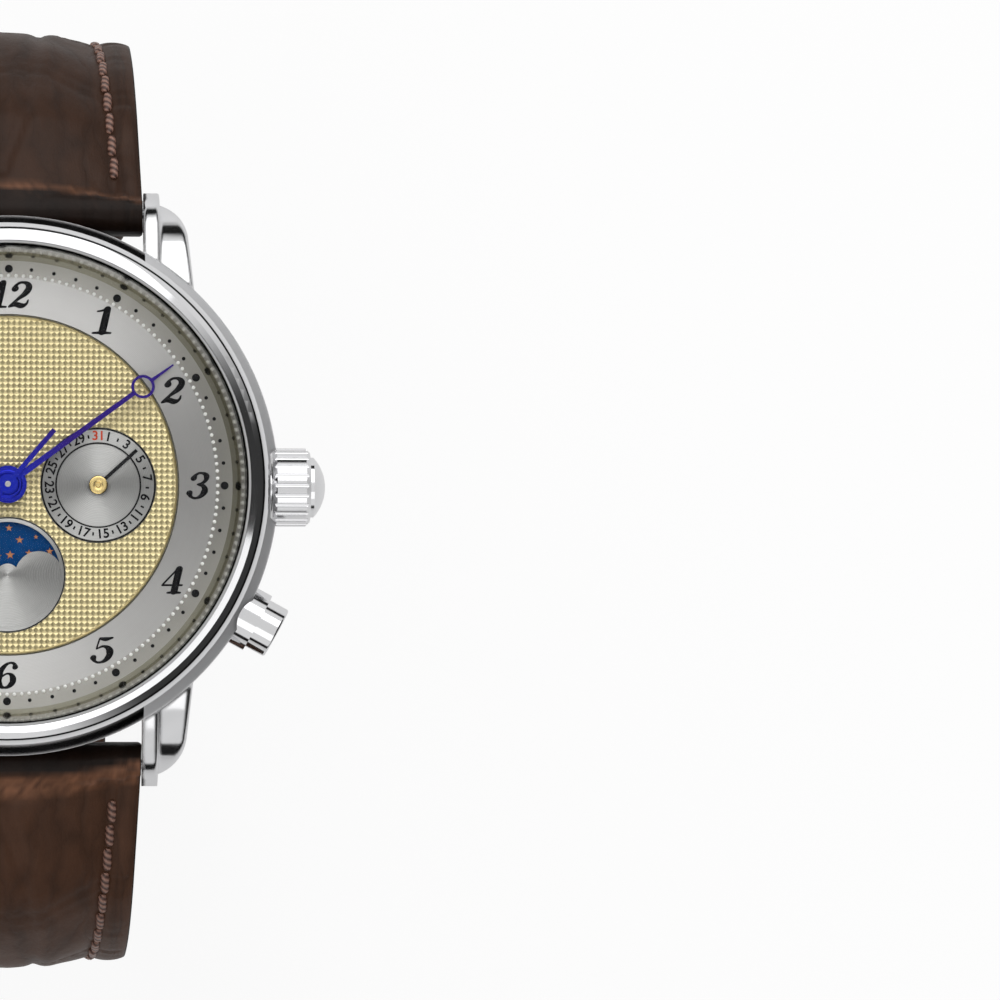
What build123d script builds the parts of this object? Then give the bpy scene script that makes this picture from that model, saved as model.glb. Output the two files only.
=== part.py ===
"""A quartz wristwatch with a moon phase, a pointer date and a 24-hour dial, on a leather strap.

Millimetres. +Z is up through the dial, +Y points to 12 o'clock and +X to the crown at 3 o'clock.
The origin is the centre of the case back's outer face, which lies on the wearer's wrist.
The watch is unbuckled: both strap halves curve down and round, and the tail hangs free below the buckle.
"""

import os
from math import cos, radians, sin

from build123d import *

os.makedirs("parts", exist_ok=True)

# Clearances that every piece shares
OVERRUN = 2.0  # how far a cut runs past the wall that it opens
RUNNING_GAP = 0.05  # radial gap of a shaft in its hole
SEAT_GAP = 0.03  # gap of a piece pressed or laid in its seat
FREE_GAP = 0.15  # gap between faces that slide past each other
SOFT_GAP = 0.3  # gap of leather beside another piece

# Case middle: a steel ring with a rounded flank, an upright belt and a sloping shoulder
CASE_R = 21.65
CASE_BOTTOM_R = 18.7
CASE_BOTTOM_Z = 0.45
FLANK_R = 20.75
FLANK_Z = 2.75
BELT_LOW_Z = 5.3
BELT_TOP_Z = 6.3
SHOULDER_R = 20.95
SHOULDER_Z = 6.9
CASE_TOP_Z = 7.05
CAVITY_R = 17.0

# Case back, pressed in from below, with wrench notches round its rim
BACK_R = 17.5
BACK_FLAT_R = 13.6
BACK_STEP_Z = 0.35
BACK_INNER_Z = 1.0
BACK_SPIGOT_WALL = 0.9
BACK_SPIGOT_Z = 1.7
BACK_GASKET_WALL = 0.45
NOTCH_COUNT = 6
NOTCH_W = 2.4
NOTCH_DEPTH = 0.3
NOTCH_REACH = 1.2

# Lugs: a slim inner bar beside a lower, broader wing
LUG_GAP = 21.75
LUG_BAR_W = 1.28
LUG_TIP_Y = 24.05
LUG_WING_BACK = 0.85  # how far the wing's tip stays behind the bar's
LUG_WING_DROP = 0.3
LUG_WING_TIP_Y = 23.1
LUG_WING_MID_X = 14.42
LUG_WING_MID_Y = 20.2
LUG_WING_ROOT_X = 14.98
LUG_ROOT_Y = 14.6
LUG_TIP_LOW_Z = -0.75
LUG_TIP_HIGH_Z = 1.0
LUG_SHOULDER_Y = 21.45
LUG_SHOULDER_Z = 4.12
LUG_CREST_Y = 18.1
LUG_CREST_Z = 5.6
LUG_ROOT_TOP_Z = 6.6
LUG_UNDER_Y = 17.6
LUG_UNDER_Z = 0.75
LUG_BAR_FILLET = 0.3
LUG_WING_FILLET = 0.4

# Spring bars between the lugs
SPRING_BAR_Y = 22.3
SPRING_BAR_Z = 1.55
SPRING_BAR_R = 0.9
SPRING_BAR_TIP_R = 0.4
SPRING_BAR_TIP_L = 1.0

# Bezel, crystal, its gasket, and the sloping flange ring between crystal and dial
BEZEL_R = 20.8
BEZEL_IN_R = 19.35
BEZEL_EDGE_Z = 9.2
BEZEL_BULGE_R = 20.4
BEZEL_BULGE_Z = 9.78
BEZEL_CREST_R = 19.85
BEZEL_CREST_Z = 10.1
BEZEL_LIP_Z = 9.9
GASKET_WALL = 0.2
CRYSTAL_LOW_Z = 9.1
CRYSTAL_EDGE_Z = 9.85
CRYSTAL_BEVEL = 0.2
CRYSTAL_SEAT_W = 0.8
CRYSTAL_RISE = 1.4
CRYSTAL_HOLLOW = 1.3
FLANGE_FOOT_R = 17.95
FLANGE_HEAD_R = 18.95

# Dial: a plate whose raised hour ring stands round a sunk centre
DIAL_R = 18.35
DIAL_LOW_Z = 6.3
DIAL_FLOOR_Z = 6.5
DIAL_RING_Z = 6.75
DIAL_BORE_R = 1.25
CENTRE_R = 13.55
CENTRE_Z = 6.62
DIAL_FOOT_R = 0.45
DIAL_FOOT_L = 1.7
DIAL_FOOT_RING_R = 11.6
DIAL_FOOT_ANGLE = 45.0

# Small dials: date at 3, 24 hours at 9, moon at 6
SUBDIAL_OFFSET = 7.2
SUBDIAL_R = 4.6
SUBDIAL_Z = 6.66
SUBDIAL_WELL_R = 3.35
SUBDIAL_WELL_Z = 6.57
WINDOW_R = 4.24
HUMP_R = 1.9
HUMP_X = 2.5
HUB_BUMP_R = 0.9
MOON_DISC_R = 4.45
MOON_DISC_T = 0.14

# Hands
HOUR_HAND_L = 9.4
HOUR_RING_Y = 6.6
MINUTE_HAND_L = 16.3
MINUTE_RING_Y = 13.3
HAND_RING_R = 0.94
HAND_RING_WALL = 0.22
HAND_ROOT_W = 0.52
HAND_NECK_W = 0.36
HAND_TIP_W = 0.12
HAND_T = 0.14
HOUR_HAND_Z = 7.1
MINUTE_HAND_Z = 7.4
SECONDS_HAND_Z = 7.7
HOUR_BOSS_R = 1.5
MINUTE_BOSS_R = 1.38
SECONDS_BOSS_R = 0.75
SECONDS_HAND_L = 15.6
SECONDS_TAIL_L = 5.7
SECONDS_TAIL_W = 0.4
SECONDS_NEEDLE_W = 0.16
SECONDS_CAP_H = 0.25
SMALL_HAND_L = 4.15
SMALL_HAND_W = 0.28
SMALL_HAND_T = 0.1
SMALL_HAND_Z = 6.72
SMALL_BOSS_R = 0.76
SMALL_BOSS_H = 0.2
MINUTE_ANGLE = 53.8  # degrees clockwise from 12
HOUR_ANGLE = 304.5
SECONDS_ANGLE = 220.2
DATE_ANGLE = 47.5
DAY_HOURS_ANGLE = 152.0

# Movement plate, its plastic holder and the train bridge
PLATE_R = 13.0
PLATE_LOW_Z = 3.4
PLATE_TOP_Z = 5.0
HOLDER_R = 16.85
HOLDER_LOW_Z = 1.85
HOLDER_TOP_Z = 6.2
HOLDER_SLOT_W = 3.2
HOLDER_SLOT_H = 3.6
BRIDGE_R = 6.2
BRIDGE_X = 1.5
BRIDGE_Y = -1.0
BRIDGE_LOW_Z = 1.9
BRIDGE_T = 0.5
PILLAR_R = 0.6
PILLAR_RING_R = 5.3
PILLAR_ANGLES = (60, 200, 290)
BATTERY_R = 3.95
BATTERY_T = 2.1
BATTERY_X = -5.0
BATTERY_Y = 6.4
BATTERY_Z = 1.95
BATTERY_CAP_R = 3.1
BATTERY_CAP_T = 0.2
CLAMP_W = 2.6
CLAMP_T = 0.25
CLAMP_LEG_T = 0.5
COIL_X = -2.4
COIL_Y = -9.9
COIL_Z = 3.15
COIL_R = 1.15
COIL_L = 6.0
CHEEK_R = 1.25
CHEEK_T = 0.4
CORE_W = 0.9
CORE_L = 9.0
STATOR_T = 0.5
STATOR_W = 2.6
STATOR_Y = -7.0
MOTOR_CAP_R = 1.0
MOTOR_CAP_L = 0.5
CIRCUIT_T = 0.35
CIRCUIT_TOP_Z = 3.3
CIRCUIT_IN_R = 8.9
CIRCUIT_OUT_R = 12.6
CIRCUIT_SPAN = 110.0
SCREW_HEAD_R = 0.65
SCREW_HEAD_H = 0.35
SCREW_SHANK_R = 0.35
SCREW_SHANK_L = 1.3
SCREW_SLOT_W = 0.2
CIRCUIT_SCREW_RING_R = 10.8
CIRCUIT_SCREW_ANGLES = (-38, 38)

# Gears
TOOTH_TIP_SHARE = 0.9  # tooth height above the pitch circle, in modules
TOOTH_ROOT_SHARE = 1.2
TOOTH_FOOT_SHARE = 0.6  # half width of a tooth at its root, in half pitches
TOOTH_TOP_SHARE = 0.18
GEAR_T = 0.2
CENTRE_DISTANCE = 3.12  # from the hands' axis to the minute wheel
CANNON_TEETH = 12
MINUTE_WHEEL_TEETH = 36
MINUTE_PINION_TEETH = 10
HOUR_WHEEL_TEETH = 40
MINUTE_WHEEL_ANGLE = 60.0  # anticlockwise from 3 o'clock
DAY_MODULE = 0.25
HOUR_PINION_TEETH = 10
IDLER_TEETH = 16
DAY_WHEEL_TEETH = 20
THIRD_DISTANCE = 3.6  # from the hands' axis to the third wheel
THIRD_ANGLE = -35.0
CENTRE_WHEEL_TEETH = 64
THIRD_PINION_TEETH = 8
THIRD_WHEEL_TEETH = 60
SECONDS_PINION_TEETH = 8
DATE_TEETH = 31
MOON_TEETH = 59
STAR_R = 2.9
STAR_TOOTH_H = 0.3
CANNON_Z = 5.05
MINUTE_WHEEL_Z = 5.1
HOUR_WHEEL_Z = 5.45
DAY_TRAIN_Z = 5.75
STAR_Z = 5.45
CENTRE_WHEEL_Z = 3.1
THIRD_WHEEL_Z = 2.7
SECONDS_ARBOR_R = 0.2
CANNON_TUBE_R = 0.5
HOUR_PIPE_R = 0.85
POST_R = 0.25
POST_DEPTH = 0.7
SMALL_ARBOR_R = 0.25
WHEEL_HUB_R = 0.5

# Crown, its tube, the stem and the setting parts
CROWN_Z = 4.2
CROWN_INSET = 0.45  # how far its inner face lies inside the case's belt
CROWN_X = CASE_R - CROWN_INSET
CROWN_R = 3.15
CROWN_L = 3.05
CROWN_FLUTES = 24
CROWN_FLUTE_R = 0.18
CROWN_BEVEL = 0.35
CROWN_CAP_R = 2.42
CROWN_CAP_L = 1.25
CROWN_CAP_STRAIGHT = 0.3
CROWN_CAP_SEAT = 0.3
CROWN_BORE_R = 1.95
CROWN_BORE_L = 2.0
CROWN_FLAT_INSET = 0.65  # the same for the flat cut behind the crown
CROWN_FLAT_X = CASE_R - CROWN_FLAT_INSET
CROWN_RECESS_GAP = 0.45
TUBE_R = 1.4
TUBE_REACH = 1.25  # past the case's belt
TUBE_OUT_X = CASE_R + TUBE_REACH
TUBE_FLANGE_R = 1.75
TUBE_FLANGE_T = 0.12
CROWN_GASKET_L = 0.6
STEM_R = 0.55
STEM_END_X = 8.4
STEM_NECK_R = 0.32
STEM_NECK_X = 10.6
STEM_NECK_L = 0.6
LEVER_T = 0.45
LEVER_W = 1.9
LEVER_LOW_Z = 3.5
LEVER_TOP_Z = 4.85
SETTING_PINION_R = 0.82
SETTING_PINION_L = 1.2
SETTING_PINION_TEETH = 10
SETTING_PINION_X = 8.6
CHANNEL_X = 8.15
CHANNEL_W = 2.2

# Pusher between 3 and 4 o'clock
PUSHER_ANGLE = -28.6
PUSHER_Z = 4.2
PUSHER_TUBE_INSET = 1.15
PUSHER_TUBE_SEAT_R = CASE_R - PUSHER_TUBE_INSET
PUSHER_TUBE_R = 2.47
PUSHER_TUBE_WALL = 0.27
PUSHER_TUBE_L = 2.35
PUSHER_FLOOR_T = 0.4
PUSHER_SPIGOT_R = 1.3
PUSHER_SPIGOT_END = 17.15
PUSHER_REACH = 2.95  # past the case's belt
PUSHER_HEAD_END = CASE_R + PUSHER_REACH
PUSHER_HEAD_L = 2.6
PUSHER_HEAD_FILLET = 0.18
PUSHER_HOLLOW_R = 1.65
PUSHER_HOLLOW_L = 1.3
PUSHER_STEM_R = 0.7
PUSHER_STEM_END_R = 16.2
PUSHER_TRAVEL = 0.7
CLIP_R = 1.25
CLIP_T = 0.2
CLIP_GROOVE_R = 0.48
CLIP_GROOVE_SEAT_R = 17.0
CLIP_MOUTH_W = 0.7
PUSHER_SPRING_R = 1.2
PUSHER_SPRING_WIRE_R = 0.13
PUSHER_SPRING_TURNS = 2

# Strap halves: leather with a padded crown, thinning towards the ends
STRAP_W = 21.3
STRAP_NARROWING = 3.3  # how much narrower it is at the buckle than at the lugs
STRAP_END_W = STRAP_W - STRAP_NARROWING
STRAP_TAPER_L = 46.0
STRAP_DIP = 31.0  # degrees below level where the strap leaves its spring bar
STRAP_LEAD = 7.6
STRAP_BEND_R = 17.5
STRAP_CURL_R = 42.0
STRAP_ROLL_R = 1.85
STRAP_SWELL_L = 8.0
STRAP_PAD_L = 42.0
STRAP_LINING = 1.6  # from the bar's centre line to the lining, at the lugs
STRAP_EDGE = 1.25
STRAP_CROWN = 2.3
STRAP_END_LINING = 1.2
STRAP_END_EDGE = 0.9
STRAP_END_CROWN = 1.35
STRAP_STEP = 6.0  # the length between two sections of a strap half
UPPER_L = 75.0
LOWER_L = 115.0
LOWER_DROP = 12.0
TAIL_POINT_L = 10.0
TAIL_POINT_SHARE = 0.3
TAIL_HOLES = 7
TAIL_HOLE_PITCH = 6.0
TAIL_HOLE_FIRST = 25.0
TAIL_HOLE_R = 0.85

# Buckle, its bar and tongue, and the two keepers
BUCKLE_BAR_R = 0.7
BUCKLE_ROLL_R = 1.6
BUCKLE_ARM_W = 1.6
BUCKLE_REACH = 11.0
BUCKLE_FRONT_W = 2.2
BUCKLE_HEEL = 1.3
BUCKLE_T = 2.0
BUCKLE_CORNER_R = 2.8
BUCKLE_TIP_R = 0.4
BUCKLE_TIP_L = 1.0
BUCKLE_FILLET = 0.35
TONGUE_W = 1.9
TONGUE_T = 0.9
TONGUE_RING_R = 1.25
TONGUE_OVERHANG = 0.5
TONGUE_SLOT_W = 2.7
TONGUE_SLOT_L = 2.2
KEEPER_W = 5.0
KEEPER_T = 1.1
KEEPER_ROOM = 2.5  # height left above the strap for the tail
FIXED_KEEPER_L = 9.0  # from the buckle's bar
FREE_KEEPER_L = 19.5


def polar(radius, angle):
    """The x and y of a point at an angle, anticlockwise from 3 o'clock."""
    return radius * cos(radians(angle)), radius * sin(radians(angle))


def dome_drop(span, rise, at):
    """How far a dome that rises over a span has dropped at a distance from its middle."""
    dome_r = (span**2 + rise**2) / (2 * rise)
    return dome_r - (dome_r**2 - at**2) ** 0.5


def tooth_corners(teeth, root_r, tip_r, turn=0.0):
    """The corners of a toothed outline between two radii, its first tooth centred at an angle."""
    half_pitch = 180 / teeth
    corners = []
    for tooth in range(teeth):
        middle = turn + 2 * half_pitch * tooth
        corners.append(polar(root_r, middle - TOOTH_FOOT_SHARE * half_pitch))
        corners.append(polar(tip_r, middle - TOOTH_TOP_SHARE * half_pitch))
        corners.append(polar(tip_r, middle + TOOTH_TOP_SHARE * half_pitch))
        corners.append(polar(root_r, middle + TOOTH_FOOT_SHARE * half_pitch))
    return corners


def gear_corners(teeth, module, turn=0.0):
    """The corners of a gear, whose pitch radius is half the module for each tooth."""
    pitch_r = teeth * module / 2
    return tooth_corners(
        teeth, pitch_r - TOOTH_ROOT_SHARE * module, pitch_r + TOOTH_TIP_SHARE * module, turn
    )


def meshed_turn(angle, driver_teeth, driver_turn, teeth):
    """The turn that sets a gear's tooth in its driver's gap on the line between their centres.

    angle is the direction from the driver's centre to the gear's, anticlockwise from 3 o'clock.
    """
    phase = (angle - driver_turn) * driver_teeth / 360
    return angle + 180 + (phase - 0.5) * 360 / teeth


# Case middle
def lug_side(tip_back, drop):
    """The side of a lug, seen along X: its top runs level, then rounds down to a steep tip."""
    shoulder = (LUG_SHOULDER_Y - tip_back, LUG_SHOULDER_Z - drop)
    tip_y = LUG_TIP_Y - tip_back
    with BuildSketch(Plane.YZ) as side:
        with BuildLine():
            Polyline(
                (tip_y, LUG_TIP_HIGH_Z - drop),
                (tip_y, LUG_TIP_LOW_Z),
                (LUG_UNDER_Y, LUG_UNDER_Z),
                (LUG_ROOT_Y, LUG_UNDER_Z),
                (LUG_ROOT_Y, LUG_ROOT_TOP_Z - drop),
            )
            top = ThreePointArc(
                (LUG_ROOT_Y, LUG_ROOT_TOP_Z - drop), (LUG_CREST_Y, LUG_CREST_Z - drop), shoulder
            )
            TangentArc(shoulder, (tip_y, LUG_TIP_HIGH_Z - drop), tangent=top % 1)
        make_face()
    return side.sketch


bar_side_x = LUG_GAP / 2 + LUG_BAR_W
with BuildPart() as lug_bar:
    add(Pos(LUG_GAP / 2) * lug_side(0, 0))
    extrude(amount=LUG_BAR_W, dir=(1, 0, 0))
    bar_rim = lug_bar.edges().group_by(Axis.X)[-1]
    fillet(bar_rim.filter_by(GeomType.CIRCLE), LUG_BAR_FILLET)

with BuildPart() as lug_wing:
    add(Pos(bar_side_x) * lug_side(LUG_WING_BACK, LUG_WING_DROP))
    extrude(amount=LUG_WING_ROOT_X - bar_side_x, dir=(1, 0, 0))
    with BuildSketch(Plane.XY.offset(LUG_TIP_LOW_Z - OVERRUN)):
        with BuildLine():
            flank = Line((LUG_WING_ROOT_X, LUG_ROOT_Y), (LUG_WING_MID_X, LUG_WING_MID_Y))
            TangentArc(flank @ 1, (bar_side_x, LUG_WING_TIP_Y), tangent=flank % 1)
            Polyline((bar_side_x, LUG_WING_TIP_Y), (bar_side_x, LUG_ROOT_Y), flank @ 0)
        make_face()
    extrude(amount=LUG_ROOT_TOP_Z - LUG_TIP_LOW_Z + 2 * OVERRUN, mode=Mode.INTERSECT)
    wing_rim = lug_wing.faces().filter_by(GeomType.CYLINDER).sort_by(Axis.Z)[-2:].edges()
    fillet(wing_rim.filter_by(GeomType.BSPLINE) + wing_rim.filter_by(GeomType.ELLIPSE), LUG_WING_FILLET)

pusher_way = Vector(*polar(1, PUSHER_ANGLE))
pusher_middle = Vector(0, 0, PUSHER_Z)


def pusher_plane(distance):
    """The plane square to the pusher's axis at a distance from the watch's centre line."""
    return Plane(origin=pusher_middle + pusher_way * distance, x_dir=(0, 0, 1), z_dir=pusher_way)


with BuildPart() as case_middle:
    with BuildSketch(Plane.XZ):
        with BuildLine():
            ThreePointArc((CASE_BOTTOM_R, CASE_BOTTOM_Z), (FLANK_R, FLANK_Z), (CASE_R, BELT_LOW_Z))
            Polyline(
                (CASE_R, BELT_LOW_Z),
                (CASE_R, BELT_TOP_Z),
                (SHOULDER_R, SHOULDER_Z),
                (BEZEL_R, CASE_TOP_Z),
                (0, CASE_TOP_Z),
                (0, CASE_BOTTOM_Z),
                (CASE_BOTTOM_R, CASE_BOTTOM_Z),
            )
        make_face()
    revolve(axis=Axis.Z)
    for lug in (lug_bar.part, lug_wing.part):
        add(lug)
        add(lug.mirror(Plane.YZ))
        add(lug.mirror(Plane.XZ))
        add(lug.mirror(Plane.YZ).mirror(Plane.XZ))
    with BuildSketch(Plane.XZ):
        with BuildLine():
            Polyline(
                (0, CASE_BOTTOM_Z - OVERRUN),
                (BACK_R + SEAT_GAP, CASE_BOTTOM_Z - OVERRUN),
                (BACK_R + SEAT_GAP, BACK_SPIGOT_Z + SEAT_GAP),
                (CAVITY_R, BACK_SPIGOT_Z + SEAT_GAP),
                (CAVITY_R, DIAL_LOW_Z),
                (DIAL_R + SEAT_GAP, DIAL_LOW_Z),
                (DIAL_R + SEAT_GAP, DIAL_RING_Z),
                (BEZEL_IN_R, DIAL_RING_Z),
                (BEZEL_IN_R, CASE_TOP_Z + OVERRUN),
                (0, CASE_TOP_Z + OVERRUN),
                close=True,
            )
        make_face()
    revolve(axis=Axis.Z, mode=Mode.SUBTRACT)
    # blind holes for the spring bars' tips
    with BuildSketch(Plane.YZ.offset(-LUG_GAP / 2 - SPRING_BAR_TIP_L)):
        with Locations((SPRING_BAR_Y, SPRING_BAR_Z), (-SPRING_BAR_Y, SPRING_BAR_Z)):
            Circle(SPRING_BAR_TIP_R + SEAT_GAP)
    extrude(amount=LUG_GAP + 2 * SPRING_BAR_TIP_L, mode=Mode.SUBTRACT)
    # flat and hole for the crown
    with BuildSketch(Plane.YZ.offset(CROWN_FLAT_X)):
        with Locations((0, CROWN_Z)):
            Circle(CROWN_R + CROWN_RECESS_GAP)
    extrude(amount=CROWN_L, mode=Mode.SUBTRACT)
    with BuildSketch(Plane.YZ.offset(CAVITY_R - OVERRUN)):
        with Locations((0, CROWN_Z)):
            Circle(TUBE_R + SEAT_GAP)
    extrude(amount=CROWN_L + 2 * OVERRUN, mode=Mode.SUBTRACT)
    # seat and hole for the pusher
    with BuildSketch(pusher_plane(PUSHER_TUBE_SEAT_R)):
        Circle(PUSHER_TUBE_R + SEAT_GAP)
    extrude(amount=PUSHER_TUBE_L, mode=Mode.SUBTRACT)
    with BuildSketch(pusher_plane(CAVITY_R - OVERRUN)):
        Circle(PUSHER_SPIGOT_R + SEAT_GAP)
    extrude(amount=PUSHER_TUBE_SEAT_R - CAVITY_R + 2 * OVERRUN, mode=Mode.SUBTRACT)
case_middle.part.label = "case_middle"
export_step(case_middle.part, "parts/case_middle.step")

# Case back and its gasket
spigot_r = BACK_R - BACK_GASKET_WALL - SEAT_GAP
with BuildPart() as case_back:
    with BuildSketch(Plane.XZ):
        with BuildLine():
            Polyline(
                (0, 0),
                (BACK_FLAT_R, 0),
                (BACK_FLAT_R + BACK_STEP_Z, BACK_STEP_Z),
                (BACK_R, BACK_STEP_Z),
                (BACK_R, BACK_INNER_Z),
                (spigot_r, BACK_INNER_Z),
                (spigot_r, BACK_SPIGOT_Z),
                (spigot_r - BACK_SPIGOT_WALL, BACK_SPIGOT_Z),
                (spigot_r - BACK_SPIGOT_WALL, BACK_INNER_Z),
                (0, BACK_INNER_Z),
                close=True,
            )
        make_face()
    revolve(axis=Axis.Z)
    with BuildSketch(Plane.XY):
        with PolarLocations(BACK_R, NOTCH_COUNT):
            Rectangle(2 * NOTCH_REACH, NOTCH_W)
    extrude(amount=BACK_STEP_Z + NOTCH_DEPTH, mode=Mode.SUBTRACT)
case_back.part.label = "case_back"
export_step(case_back.part, "parts/case_back.step")

with BuildPart() as case_back_gasket:
    with BuildSketch(Plane.XY.offset(BACK_INNER_Z + SEAT_GAP)):
        Circle(BACK_R)
        Circle(BACK_R - BACK_GASKET_WALL, mode=Mode.SUBTRACT)
    extrude(amount=BACK_SPIGOT_Z - BACK_INNER_Z - SEAT_GAP)
case_back_gasket.part.label = "case_back_gasket"
export_step(case_back_gasket.part, "parts/case_back_gasket.step")

# Bezel, crystal, crystal gasket and flange ring
with BuildPart() as bezel:
    with BuildSketch(Plane.XZ):
        with BuildLine():
            Polyline(
                (BEZEL_CREST_R, BEZEL_CREST_Z),
                (BEZEL_IN_R, BEZEL_LIP_Z),
                (BEZEL_IN_R, CASE_TOP_Z),
                (BEZEL_R, CASE_TOP_Z),
                (BEZEL_R, BEZEL_EDGE_Z),
            )
            ThreePointArc(
                (BEZEL_R, BEZEL_EDGE_Z),
                (BEZEL_BULGE_R, BEZEL_BULGE_Z),
                (BEZEL_CREST_R, BEZEL_CREST_Z),
            )
        make_face()
    revolve(axis=Axis.Z)
bezel.part.label = "bezel"
export_step(bezel.part, "parts/bezel.step")

gasket_in_r = BEZEL_IN_R - GASKET_WALL
crystal_r = gasket_in_r - SEAT_GAP
under_span = crystal_r - CRYSTAL_SEAT_W
under_top = CRYSTAL_LOW_Z + CRYSTAL_HOLLOW
dome_span = crystal_r - CRYSTAL_BEVEL
dome_top = CRYSTAL_EDGE_Z + CRYSTAL_RISE
with BuildPart() as crystal:
    with BuildSketch(Plane.XZ):
        with BuildLine():
            Line((0, dome_top), (0, under_top))
            ThreePointArc(
                (0, under_top),
                (under_span / 2, under_top - dome_drop(under_span, CRYSTAL_HOLLOW, under_span / 2)),
                (under_span, CRYSTAL_LOW_Z),
            )
            Polyline(
                (under_span, CRYSTAL_LOW_Z),
                (crystal_r, CRYSTAL_LOW_Z),
                (crystal_r, CRYSTAL_EDGE_Z - CRYSTAL_BEVEL),
                (dome_span, CRYSTAL_EDGE_Z),
            )
            ThreePointArc(
                (dome_span, CRYSTAL_EDGE_Z),
                (dome_span / 2, dome_top - dome_drop(dome_span, CRYSTAL_RISE, dome_span / 2)),
                (0, dome_top),
            )
        make_face()
    revolve(axis=Axis.Z)
crystal.part.label = "crystal"
export_step(crystal.part, "parts/crystal.step")

with BuildPart() as crystal_gasket:
    with BuildSketch(Plane.XY.offset(CRYSTAL_LOW_Z)):
        Circle(BEZEL_IN_R - SEAT_GAP)
        Circle(gasket_in_r, mode=Mode.SUBTRACT)
    extrude(amount=CRYSTAL_EDGE_Z - CRYSTAL_LOW_Z)
crystal_gasket.part.label = "crystal_gasket"
export_step(crystal_gasket.part, "parts/crystal_gasket.step")

with BuildPart() as dial_flange:
    with BuildSketch(Plane.XZ):
        with BuildLine():
            Polyline(
                (FLANGE_FOOT_R, DIAL_RING_Z),
                (FLANGE_HEAD_R, CRYSTAL_LOW_Z),
                (BEZEL_IN_R - SEAT_GAP, CRYSTAL_LOW_Z),
                (BEZEL_IN_R - SEAT_GAP, DIAL_RING_Z),
                close=True,
            )
        make_face()
    revolve(axis=Axis.Z)
dial_flange.part.label = "dial_flange"
export_step(dial_flange.part, "parts/dial_flange.step")

# Dial plate with its two feet, and the patterned centre plate laid on it
date_centre = (SUBDIAL_OFFSET, 0)
day_centre = (-SUBDIAL_OFFSET, 0)
moon_centre = (0, -SUBDIAL_OFFSET)
with BuildPart() as dial_plate:
    with BuildSketch(Plane.XY.offset(DIAL_LOW_Z)):
        Circle(DIAL_R)
    extrude(amount=DIAL_RING_Z - DIAL_LOW_Z)
    with BuildSketch(Plane.XY.offset(DIAL_FLOOR_Z)):
        Circle(CENTRE_R + SEAT_GAP)
    extrude(amount=DIAL_RING_Z - DIAL_FLOOR_Z, mode=Mode.SUBTRACT)
    with BuildSketch(Plane.XY.offset(DIAL_LOW_Z)):
        Circle(DIAL_BORE_R)
        with Locations(date_centre, day_centre):
            Circle(WHEEL_HUB_R)
        with Locations(moon_centre):
            Circle(WINDOW_R)
    extrude(amount=DIAL_FLOOR_Z - DIAL_LOW_Z, mode=Mode.SUBTRACT)
    with BuildSketch(Plane.XY.offset(DIAL_LOW_Z)):
        with PolarLocations(DIAL_FOOT_RING_R, 2, DIAL_FOOT_ANGLE):
            Circle(DIAL_FOOT_R)
    extrude(amount=-DIAL_FOOT_L)
dial_plate.part.label = "dial_plate"
export_step(dial_plate.part, "parts/dial_plate.step")

with BuildPart() as dial_centre:
    with BuildSketch(Plane.XY.offset(DIAL_FLOOR_Z)):
        Circle(CENTRE_R)
        Circle(DIAL_BORE_R, mode=Mode.SUBTRACT)
        with Locations(date_centre, day_centre, moon_centre):
            Circle(SUBDIAL_R + SEAT_GAP, mode=Mode.SUBTRACT)
    extrude(amount=CENTRE_Z - DIAL_FLOOR_Z)
dial_centre.part.label = "dial_centre"
export_step(dial_centre.part, "parts/dial_centre.step")


# Small dials
def small_dial(centre):
    """A small dial: a raised number ring round a shallow well, with a hole for the hand's arbor."""
    with BuildPart() as plate:
        with BuildSketch(Plane.XY.offset(DIAL_FLOOR_Z)):
            with Locations(centre):
                Circle(SUBDIAL_R)
                Circle(WHEEL_HUB_R, mode=Mode.SUBTRACT)
        extrude(amount=SUBDIAL_Z - DIAL_FLOOR_Z)
        with BuildSketch(Plane.XY.offset(SUBDIAL_WELL_Z)):
            with Locations(centre):
                Circle(SUBDIAL_WELL_R)
        extrude(amount=SUBDIAL_Z - SUBDIAL_WELL_Z, mode=Mode.SUBTRACT)
    return plate


date_subdial = small_dial(date_centre)
date_subdial.part.label = "date_subdial"
export_step(date_subdial.part, "parts/date_subdial.step")

day_hours_subdial = small_dial(day_centre)
day_hours_subdial.part.label = "day_hours_subdial"
export_step(day_hours_subdial.part, "parts/day_hours_subdial.step")

with BuildPart() as moon_plate:
    with BuildSketch(Plane.XY.offset(DIAL_FLOOR_Z)):
        with Locations(moon_centre):
            Circle(SUBDIAL_R)
    extrude(amount=SUBDIAL_Z - DIAL_FLOOR_Z)
    with BuildSketch(Plane.XY.offset(SUBDIAL_WELL_Z)):
        with Locations(moon_centre):
            Circle(WINDOW_R)
    extrude(amount=SUBDIAL_Z - SUBDIAL_WELL_Z, mode=Mode.SUBTRACT)
    with BuildSketch(Plane.XY.offset(DIAL_FLOOR_Z)):
        with Locations(moon_centre):
            Circle(WINDOW_R)
            Rectangle(2 * SUBDIAL_R, SUBDIAL_R, align=(Align.CENTER, Align.MAX), mode=Mode.SUBTRACT)
            Circle(HUB_BUMP_R, mode=Mode.SUBTRACT)
        with Locations(
            (moon_centre[0] - HUMP_X, moon_centre[1]), (moon_centre[0] + HUMP_X, moon_centre[1])
        ):
            Circle(HUMP_R, mode=Mode.SUBTRACT)
    extrude(amount=SUBDIAL_Z - DIAL_FLOOR_Z, mode=Mode.SUBTRACT)
moon_plate.part.label = "moon_plate"
export_step(moon_plate.part, "parts/moon_plate.step")

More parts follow.
